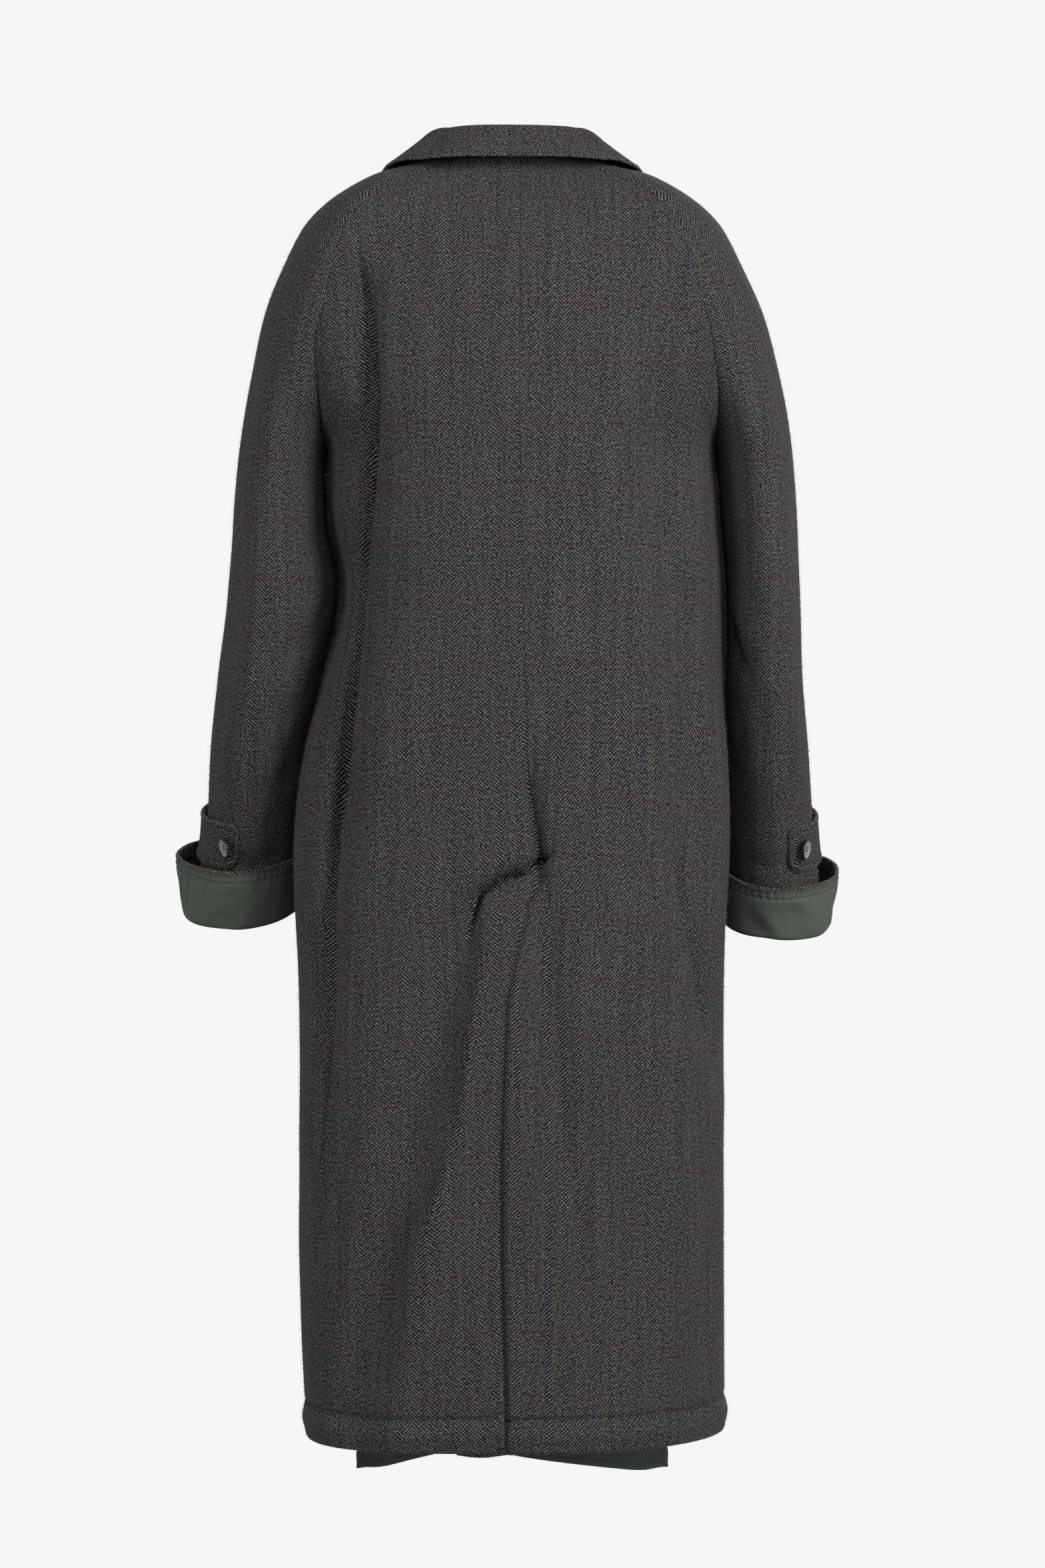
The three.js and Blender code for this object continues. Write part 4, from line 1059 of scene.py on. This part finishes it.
for sign in (-1, 1):
    side = "left" if sign < 0 else "right"
    end = sleeve_ends[sign]
    angle = np.linspace(0, 360, cuff_columns, endpoint=False)
    rim = sleeve_point(sign, end, angle)
    up = unit(sleeve_point(sign, end - cuff_axis, angle) - rim)
    out = unit(np.cross(sleeve_point(sign, end, angle + 2) - rim, up))
    if np.sum(out * (rim - rim.mean(axis=0))) < 0:
        out = -out
    flare = cuff_flare[sign] * (1 - np.cos(np.radians(angle))) / 2
    turn = np.radians(angle)
    tall = 1 + cuff_taller_behind[sign] * np.maximum(0, np.sin(turn))
    tall -= cuff_shorter_before[sign] * np.maximum(0, -np.sin(turn - shorter_turn))
    profile = []
    for far, high, share in cuff_steps:
        reach = (far - wall / 2 + share * flare)[:, None]
        profile.append(rim + out * reach + up * high * np.where(high > 0, tall, 1)[:, None])
    grid = spline(np.array(profile), cuff_rows)
    ring = np.concatenate([grid[:, -1:], grid, grid[:, :1]], axis=1)
    normals = unit(across_normals(ring))[:, 1:-1]
    if np.sum(normals * (grid - rim.mean(axis=0))) < 0:
        normals = -normals
    u, v = measured(grid, np.zeros(cuff_rows), 0)
    gone = along_cloth(grid.swapaxes(0, 1)).T
    under = gone[-1:] - gone
    depth = cuff_crease_gain * crease_depth(u, under, cuff_creases[sign])
    depth += uneven(cuff_waves[0] * u + cuff_shift * sign, cuff_waves[1] * v, cuff_lively)
    for stitches in cuff_stitches:
        depth += cuff_groove * bell(under - stitches, cuff_groove_wide)
    band = bell(under - sum(cuff_stitches) / 2, pucker_wide)
    depth += pucker_deep * band * np.sin(u / pucker_long + pucker_drift * np.sin(u / drift_long))
    grid = grid - normals * (depth * ease(gone / turn_clear))[..., None]
    outer, inner = grid + normals * wall / 2, grid - normals * wall / 2
    faces["cuff", sign] = (outer, inner)
    uv = np.stack([u, v], -1)
    piece = cloth_mesh(f"cuff_{side}_cotton", outer, inner, uv, [cotton, wool], ring=True, rim=1, border=1)
    shapes["cuff", sign] = [grid, normals, u, v]
    fitted(piece, f"cuff_{side}")


# Cuff tabs: a padded strap of the same wool, wool on both faces, round the outside of each sleeve
# above its cuff. It is topstitched along its edges, sewn on behind and buttoned.
tab_height = 47
tab_thick = 3.5
tab_round = 10
tab_columns = 84
tab_rows = 30
tab_along = {-1: 760, 1: 764}
tab_turn = {-1: 0, 1: 6}  # degrees round the sleeve
sleeve_middle_in = 40
tab_stitch = 5.5
tab_groove = 0.9
tab_groove_wide = 1.5
tab_swell = 0.8
button_dent = 1.5  # the button's threads pull the tab in
button_dent_wide = 11
tab = table(
    "angle lift", (104, 2.2), (112, 2.6), (135, 4.2), (180, 4.8), (215, 4), (245, 2.2),
)


def solid_points(node):
    """The points of one of the frame's solids, in millimetres."""
    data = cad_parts[node].data
    points = np.empty(3 * len(data.vertices))
    data.vertices.foreach_get("co", points)
    return 1000 * points.reshape(-1, 3)


for sign in (-1, 1):
    side = "left" if sign < 0 else "right"
    angle = np.linspace(tab["angle"][0], tab["angle"][-1], tab_columns)
    turned = angle + tab_turn[sign]
    middle = sleeve_point(sign, tab_along[sign], turned)
    gone = along_cloth(middle[None])[0]
    corner = np.sqrt(np.maximum(0, 1 - np.clip(1 - gone / tab_round, 0, 1) ** 2))
    tall = tab_height / 2 - tab_round * (1 - corner)
    share = np.linspace(-1, 1, tab_rows)[:, None]
    under = sleeve_point(sign, tab_along[sign] + share * tall, turned[None, :])
    normals = outward(under, under.mean(axis=(0, 1)) - (sign * sleeve_middle_in, 0, 0))
    grid = under + normals * read(tab, "angle", "lift", angle)[None, :, None]
    normals = outward(grid, grid.mean(axis=(0, 1)) - (sign * sleeve_middle_in, 0, 0))
    sewn_at = solid_points(f"cuff_button_{side}").mean(axis=0)
    sunk = np.exp(-np.sum((grid - sewn_at) ** 2, axis=2) / button_dent_wide**2)
    grid = grid - normals * (button_dent * sunk)[..., None]
    depth = rolled(grid, [edge_turn] * 4)[..., None]
    down = along_cloth(grid.swapaxes(0, 1)).T
    edge = np.minimum(np.minimum(down, down[-1:] - down), along_cloth(grid))
    groove = tab_groove * bell(edge - tab_stitch, tab_groove_wide)
    groove -= tab_swell * bell(edge - tab_stitch / 2, tab_groove_wide)
    outer = grid + normals * (tab_thick / 2 - depth - groove[..., None])
    inner = grid - normals * (tab_thick / 2 - depth)
    faces["tab", sign] = (outer, inner)
    u, v = measured(grid, np.zeros(tab_rows), 0)
    piece = cloth_mesh(f"tab_{side}_wool", outer, inner, np.stack([u, v], -1), [wool, wool])
    shapes["tab", sign] = [grid, normals, u, v]
    fitted(piece, f"tab_{side}")


# Sewing: rows of dark spun thread beside the edges of the collar, cuffs, tabs, fronts and hem, and
# round the buttonholes of the left front. Each row keeps one distance from its edge. The thread's
# darkness is partly painted shade for the grooves that the stitches lie in.
thread_step = 2.8
thread_long = 2
# thicker and darker thread also stands in for the shade of the stitched grooves, as painted shade
thread_thick = 1.0  # near three times the real thread, so that the rows show
# the piece, its outer or inner face, the edge that the row follows, how far in, and how short
sewn_rows = (
    ("cuff", 0, "last row", 4.5, 0),
    ("cuff", 0, "last row", 11, 0),
    ("back", 0, "last row", 32, 2),
    ("front", 0, "last row", 32, 2),
    ("front", 0, "first column", 6, 4),
    ("front", 1, "first column", 6, 4),
    ("front", 1, "last row", 6, 4),
    ("tab", 0, "first row", 5.5, 5),
    ("tab", 0, "last row", 5.5, 5),
    ("tab", 0, "first column", 5.5, 5),
    ("collar", 0, "last row", 3, 2),
    ("collar", 0, "first column", 3, 3),
    ("collar", 0, "last column", 3, 3),
)
buttonhole_long = 29
buttonhole_wide = 3.4
buttonhole_aside = 9
buttonhole_step = 0.9
buttonhole_stitch = 1.3
buttonhole_points = 40


def spun_thread():
    """Spun polyester sewing thread: dark and dull, with the paler marks of its twist. Its near-black is
    partly painted shade for the stitched grooves.
    """
    made, tree, shader = new_material("spun sewing thread")
    place = add(tree, "ShaderNodeTexCoord").outputs["Object"]
    twist = add(tree, "ShaderNodeTexNoise", {"Vector": place, "Scale": 1800, "Detail": 2})
    # near-black thread: partly its own colour, partly painted shade of the grooves it sews
    colour = add(
        tree, "ShaderNodeMix",
        {"Factor": twist, "A": linear("0C0D0D"), "B": linear("2A2D2B")}, data_type="RGBA",
    )
    bump = add(tree, "ShaderNodeBump", {"Height": twist, "Strength": 0.4, "Distance": 0.0002})
    feed(tree, shader, {"Base Color": colour, "Normal": bump, "Roughness": 0.75})
    return made


def node_group(name, inputs):
    """A node group that takes geometry and named inputs and gives geometry."""
    tree = bpy.data.node_groups.new(name, "GeometryNodeTree")
    tree.interface.new_socket("Geometry", in_out="INPUT", socket_type="NodeSocketGeometry")
    for label, kind in inputs.items():
        tree.interface.new_socket(label, in_out="INPUT", socket_type=kind)
    tree.interface.new_socket("Geometry", in_out="OUTPUT", socket_type="NodeSocketGeometry")
    return tree


def applied(piece):
    """Keeps what a piece's modifiers make of its mesh as one plain mesh."""
    given = piece.data
    ready = piece.evaluated_get(bpy.context.evaluated_depsgraph_get())
    plain = bpy.data.meshes.new_from_object(ready)
    piece.modifiers.clear()
    piece.data = plain
    bpy.data.meshes.remove(given)


def grown(name, mesh, tree, values):
    """What a node group makes of a mesh, as one plain mesh."""
    made = new_object(name, mesh)
    changer = made.modifiers.new("growth", "NODES")
    changer.node_group = tree
    for item in tree.interface.items_tree:
        if item.in_out == "INPUT" and item.name in values:
            changer[item.identifier] = values[item.name]
    applied(made)
    return made


def stitching():
    """A node group that lays a stitch at even steps along each line."""
    floats = dict.fromkeys(("Spacing", "Length", "Thickness"), "NodeSocketFloat")
    tree = node_group("stitches along lines", {**floats, "Thread": "NodeSocketMaterial"})
    given = add(tree, "NodeGroupInput").outputs
    line = add(tree, "GeometryNodeMeshToCurve", {"Mesh": given["Geometry"]})
    even = add(
        tree, "GeometryNodeResampleCurve", {"Curve": line, "Length": given["Spacing"]}, mode="LENGTH",
    )
    tangent = add(tree, "GeometryNodeInputTangent")
    turned = add(tree, "FunctionNodeAlignRotationToVector", {"Vector": tangent}, axis="Z")
    size = add(
        tree, "ShaderNodeCombineXYZ",
        {"X": given["Thickness"], "Y": given["Thickness"], "Z": given["Length"]},
    )
    stitch = add(tree, "GeometryNodeMeshIcoSphere", {"Radius": 0.5, "Subdivisions": 1})
    placed = add(
        tree, "GeometryNodeInstanceOnPoints",
        {"Points": even, "Instance": stitch, "Rotation": turned, "Scale": size},
    )
    real = add(tree, "GeometryNodeRealizeInstances", {"Geometry": placed})
    dressed = add(tree, "GeometryNodeSetMaterial", {"Geometry": real, "Material": given["Thread"]})
    add(tree, "NodeGroupOutput", {"Geometry": dressed})
    return tree


def inset(surface, edge, distance, short):
    """The line on a grid of points this far in from an edge of it, cut short at both ends."""
    if "column" in edge:
        surface = surface.swapaxes(0, 1)
    if "last" in edge:
        surface = surface[::-1]
    lanes = surface.swapaxes(0, 1)
    line = np.array([
        [np.interp(distance, run, axis) for axis in lane.T] for run, lane in zip(along_cloth(lanes), lanes)
    ])
    gone = along_cloth(line[None])[0]
    return line[(gone >= short) & (gone[-1] - gone >= short)]


def sewn(name, lines, spacing, length):
    """Stitches along lines. lines: pairs of points and whether they close in a ring."""
    points, edges = [], []
    for line, ring in lines:
        first = len(points)
        points.extend((line / 1000).tolist())
        edges.extend((first + i, first + i + 1) for i in range(len(line) - 1))
        if ring:
            edges.append((len(points) - 1, first))
    mesh = bpy.data.meshes.new(name)
    mesh.from_pydata(points, edges, [])
    values = {"Spacing": spacing / 1000, "Length": length / 1000, "Thickness": thread_thick / 1000}
    piece = grown(name, mesh, stitch_tree, {**values, "Thread": thread})
    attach(piece, "root")


thread = spun_thread()
stitch_tree = stitching()
lines = []
for sign in (-1, 1, 0):
    for kind, face, edge, distance, short in sewn_rows:
        if (kind, sign) in faces:
            line = inset(faces[kind, sign][face], edge, distance, short)
            lines.append((line, kind == "cuff"))
sewn("topstitching", lines, thread_step, thread_long)


# Buttons: moulded in a dark grey-green that looks like horn, with a near-black raised rim, and
# four holes in a small rectangle. They stand where the solids are, sewn on with dark thread.
# Each step of the section: share of the radius, and of the thickness from the back.
button_section = (
    (0, 0), (0.84, 0), (0.96, 0.2), (1, 0.5), (0.985, 0.84), (0.94, 1), (0.885, 0.96),
    (0.85, 0.74), (0.8, 0.64), (0.5, 0.6), (0, 0.6),
)
button_sides = 56
button_face_from = 6  # the step at which the paler face begins
hole_aside = 0.16  # shares of the radius
hole_radius = 0.085
bore_sides = 12
face_high = 0.1  # from the button's middle, as a share of its thickness
bar_lift = 0.25
bar_step, bar_stitch = 0.35, 0.8
button_tilt = {"cuff_button_left": (-0.9, 0.2, -0.16), "cuff_button_right": (0.7, 0.1, -0.02)}
button_lift = 2.4  # a tilted button stands off on its threads
buttons = {"cuff_button_left": ("tab", -1), "cuff_button_right": ("tab", 1)}
buttons.update({f"front_button_{i}": ("front", -1) for i in range(1, 5)})


def horn_look(name, dark, light, roughness):
    """Moulded polyester that looks like horn: faint drawn-out clouds under a low polish."""
    made, tree, shader = new_material(name)
    place = add(tree, "ShaderNodeTexCoord").outputs["Object"]
    stretched = add(tree, "ShaderNodeMapping", {"Vector": place, "Scale": (1, 1, 0.3)})
    clouds = add(tree, "ShaderNodeTexNoise", {"Vector": stretched, "Scale": 320, "Detail": 3})
    colour = add(
        tree, "ShaderNodeMix", {"Factor": clouds, "A": linear(dark), "B": linear(light)}, data_type="RGBA",
    )
    bump = add(tree, "ShaderNodeBump", {"Height": clouds, "Strength": 0.1, "Distance": 0.0002})
    feed(tree, shader, {"Base Color": colour, "Normal": bump, "Roughness": roughness})
    return made


def turned_mesh(name, section, sides, materials, paler_from):
    """A closed turned mesh round Z: section gives radius and height from its back to its face."""
    points, faces_of, slots = [], [], []
    for radius, height in section[1:-1]:
        for i in range(sides):
            turn = 2 * math.pi * i / sides
            points.append((radius * math.cos(turn), radius * math.sin(turn), height))
    rings = len(section) - 2
    points += [(0, 0, section[0][1]), (0, 0, section[-1][1])]
    for i in range(sides):
        after = (i + 1) % sides
        faces_of.append((len(points) - 2, after, i))
        slots.append(0)
        for ring in range(rings - 1):
            a, b = ring * sides, (ring + 1) * sides
            faces_of.append((a + i, a + after, b + after, b + i))
            slots.append(1 if ring + 1 >= paler_from else 0)
        top = (rings - 1) * sides
        faces_of.append((len(points) - 1, top + i, top + after))
        slots.append(1)
    mesh = bpy.data.meshes.new(name)
    mesh.from_pydata(points, [], faces_of)
    mesh.polygons.foreach_set("material_index", slots)
    mesh.polygons.foreach_set("use_smooth", [True] * len(slots))
    for material in materials:
        mesh.materials.append(material)
    return mesh


rim_plastic = horn_look("dark rim of a horn-look button", "121414", "2A2E2C", 0.35)
face_plastic = horn_look("grey-green horn-look button", "6A726F", "89918D", 0.45)
thread_bars, buttonholes = [], []
for node, ground in buttons.items():
    points = solid_points(node)
    middle = points.mean(axis=0)
    out = np.linalg.svd(points - middle)[2][2]
    grid, normals = shapes[ground][:2]
    nearest = np.argmin(np.sum((grid.reshape(-1, 3) - middle) ** 2, axis=1))
    out = out * np.sign(np.sum(out * normals.reshape(-1, 3)[nearest]))
    thick = np.ptp((points - middle) @ out)
    radius = np.linalg.norm((points - middle) - ((points - middle) @ out)[:, None] * out, axis=1).max()
    if node in button_tilt:
        middle = middle + button_lift * out
        out = unit(out + button_tilt[node])
    aside = unit(np.cross((0, 0, 1), out))
    upright = np.cross(out, aside)
    to_place = np.stack([aside, upright, out])
    section = [(radius * share, thick * (high - 0.5)) for share, high in button_section]
    mesh = turned_mesh(node, section, button_sides, [rim_plastic, face_plastic], button_face_from)
    holes = []
    for a, b in ((-1, -1), (1, -1), (1, 1), (-1, 1)):
        at = radius * hole_aside * np.array([a, b])
        wide, deep = radius * hole_radius, 2 * thick
        bore = [(0, -deep), (wide, -deep), (wide, deep), (0, deep)]
        cutter = new_object("hole", turned_mesh("hole", bore, bore_sides, [rim_plastic], len(bore)))
        cutter.data.transform(mathutils.Matrix.Translation((at[0], at[1], 0)))
        holes.append(cutter)
    piece = new_object(f"{node}_moulded", mesh)
    for cutter in holes:
        drill = piece.modifiers.new("hole", "BOOLEAN")
        drill.operation = "DIFFERENCE"
        drill.object = cutter
    applied(piece)
    for cutter in holes:
        bpy.data.meshes.remove(cutter.data)
    matrix = mathutils.Matrix(np.vstack([
        np.hstack([to_place.T / 1000, middle[:, None] / 1000]), [[0, 0, 0, 1]],
    ]).tolist())
    piece.data.transform(matrix)
    fitted(piece, node)
    face_at = middle + out * (face_high * thick + bar_lift)
    reach = radius * hole_aside
    for side in (-1, 1):
        start = face_at + reach * (side * upright - aside)
        thread_bars.append((np.stack([start, start + 2 * reach * aside]), False))
    if ground[0] == "front":
        turn = np.linspace(0, 2 * math.pi, buttonhole_points, endpoint=False)[:, None]
        around = middle + aside * (0.5 * buttonhole_long * np.cos(turn))
        around = around + upright * (0.5 * buttonhole_wide * np.sin(turn)) - (buttonhole_aside, 0, 0)
        flat, square = grid.reshape(-1, 3), normals.reshape(-1, 3)
        laid = []
        for point in around:
            i = np.argmin(np.sum((flat - point) ** 2, axis=1))
            laid.append(point - square[i] * np.sum((point - flat[i]) * square[i]))
        buttonholes.append((np.array(laid), True))
sewn("button_threads", thread_bars, bar_step, bar_stitch)
sewn("buttonhole_stitches", buttonholes, buttonhole_step, buttonhole_stitch)


# Fuzz: loose fibres that stand off the napped wool, more of them along the edges and the sides. They are
# pale brown, partly their own colour and partly a painted highlight of the nap catching light at the
# edges and the outline, and they soften the coat's outline.
fuzz_stride = 3  # fibres grow on a grid of every third row and column
side_columns = 12
over_arm_columns = 6
sleeve_fuzz_from = 6
# fibres on each square metre, their length and thickness, and a seed
# the dense pale fibres of the edges and the sides are a painted highlight along rims and outline
fuzz = {
    "coat": (9000, 3.2, 0.2, 3), "edges": (540000, 1.9, 0.22, 8), "sides": (52000, 3.6, 0.22, 5),
}


def loose_wool_with_painted_highlight():
    """Loose wool fibres: brown and grey and dull, paler than the cloth: partly their own colour, partly a
    painted highlight of the nap catching light.
    """
    made, tree, shader = new_material("loose wool fibres")
    place = add(tree, "ShaderNodeTexCoord").outputs["Object"]
    dye = add(tree, "ShaderNodeTexNoise", {"Vector": place, "Scale": 300, "Detail": 1})
    # the pale end of this colour is partly a painted highlight of fibres catching light
    colour = add(
        tree, "ShaderNodeMix",
        {"Factor": dye, "A": linear("5C5650"), "B": linear("A89D92")}, data_type="RGBA",
    )
    feed(tree, shader, {"Base Color": colour, "Roughness": 0.9})
    return made


def napping():
    """A node group that grows slanting fibres over a surface."""
    floats = dict.fromkeys(("Density", "Length", "Thickness"), "NodeSocketFloat")
    tree = node_group("fuzz on a surface", {**floats, "Seed": "NodeSocketInt", "Fibre": "NodeSocketMaterial"})
    given = add(tree, "NodeGroupInput").outputs
    spots = add(
        tree, "GeometryNodeDistributePointsOnFaces",
        {"Mesh": given["Geometry"], "Density": given["Density"], "Seed": given["Seed"]},
    )
    lean = add(
        tree, "FunctionNodeRandomValue", {0: (-1.0, -1.0, -3.1), 1: (1.0, 1.0, 3.1), "Seed": given["Seed"]},
        data_type="FLOAT_VECTOR",
    )
    leant = add(
        tree, "FunctionNodeRotateRotation",
        {"Rotation": spots.outputs["Rotation"], "Rotate By": lean}, rotation_space="LOCAL",
    )
    scale = add(
        tree, "FunctionNodeRandomValue", {0: (0.7, 0.7, 0.4), 1: (1.2, 1.2, 1.3), "Seed": given["Seed"]},
        data_type="FLOAT_VECTOR",
    )
    fibre = add(
        tree, "GeometryNodeMeshCone",
        {"Vertices": 3, "Radius Bottom": given["Thickness"], "Depth": given["Length"]}, fill_type="NONE",
    )
    placed = add(
        tree, "GeometryNodeInstanceOnPoints",
        {"Points": spots, "Instance": fibre, "Rotation": leant, "Scale": scale},
    )
    real = add(tree, "GeometryNodeRealizeInstances", {"Geometry": placed})
    dressed = add(tree, "GeometryNodeSetMaterial", {"Geometry": real, "Material": given["Fibre"]})
    add(tree, "NodeGroupOutput", {"Geometry": dressed})
    return tree


def edge_strip(outer, inner):
    """The strip along a piece's first row, and the way out of the piece there."""
    out = unit(outer[0] - outer[3])
    return np.stack([outer[1], outer[0], inner[0]]), np.stack([out] * 3)


def open_mesh(name, patches):
    """One mesh of several grids of points, each facing the way that goes with it."""
    points, quads = [], []
    for grid, facing in patches:
        rows, columns = grid.shape[:2]
        ids = len(points) + np.arange(rows * columns).reshape(rows, columns)
        if np.sum(across_normals(grid) * facing) < 0:
            ids = ids[:, ::-1]
        points.extend((grid.reshape(-1, 3) / 1000).tolist())
        corners = np.stack([ids[:-1, :-1], ids[:-1, 1:], ids[1:, 1:], ids[1:, :-1]], axis=-1)
        quads.extend(corners.reshape(-1, 4).tolist())
    mesh = bpy.data.meshes.new(name)
    mesh.from_pydata(points, [], quads)
    return mesh


fibre = loose_wool_with_painted_highlight()
nap_tree = napping()
# pale fibres gather densely on the edge and side strips: a painted highlight of the nap there catching light,
# partly the fibres' own colour
patches = {"coat": [], "edges": [], "sides": []}
for (kind, sign), (outer, inner) in faces.items():
    facing = outer - inner
    step = fuzz_stride
    if kind != "cuff":
        patches["coat"].append((outer[::step, ::step], facing[::step, ::step]))
    if kind in ("back", "front"):
        strip = (slice(yoke_count, None, step), slice(-side_columns, None, step))
        patches["sides"].append((outer[strip], facing[strip]))
    if kind == "sleeve":
        over = sleeve_columns // 2
        lanes = slice(over - over_arm_columns, over + over_arm_columns + 1, step)
        strip = (slice(sleeve_fuzz_from, None, step), lanes)
        patches["sides"].append((outer[strip], facing[strip]))
    else:
        patches["edges"].append(edge_strip(outer[::-1], inner[::-1]))
    if kind == "tab":
        patches["edges"].append(edge_strip(outer, inner))
        patches["edges"].append(edge_strip(outer.swapaxes(0, 1), inner.swapaxes(0, 1)))
for name, (density, length, thickness, seed) in fuzz.items():
    sizes = {"Density": float(density), "Length": length / 1000, "Thickness": thickness / 2000}
    values = {**sizes, "Seed": seed, "Fibre": fibre}
    piece = grown(f"{name}_fuzz", open_mesh(name, patches[name]), nap_tree, values)
    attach(piece, "root")
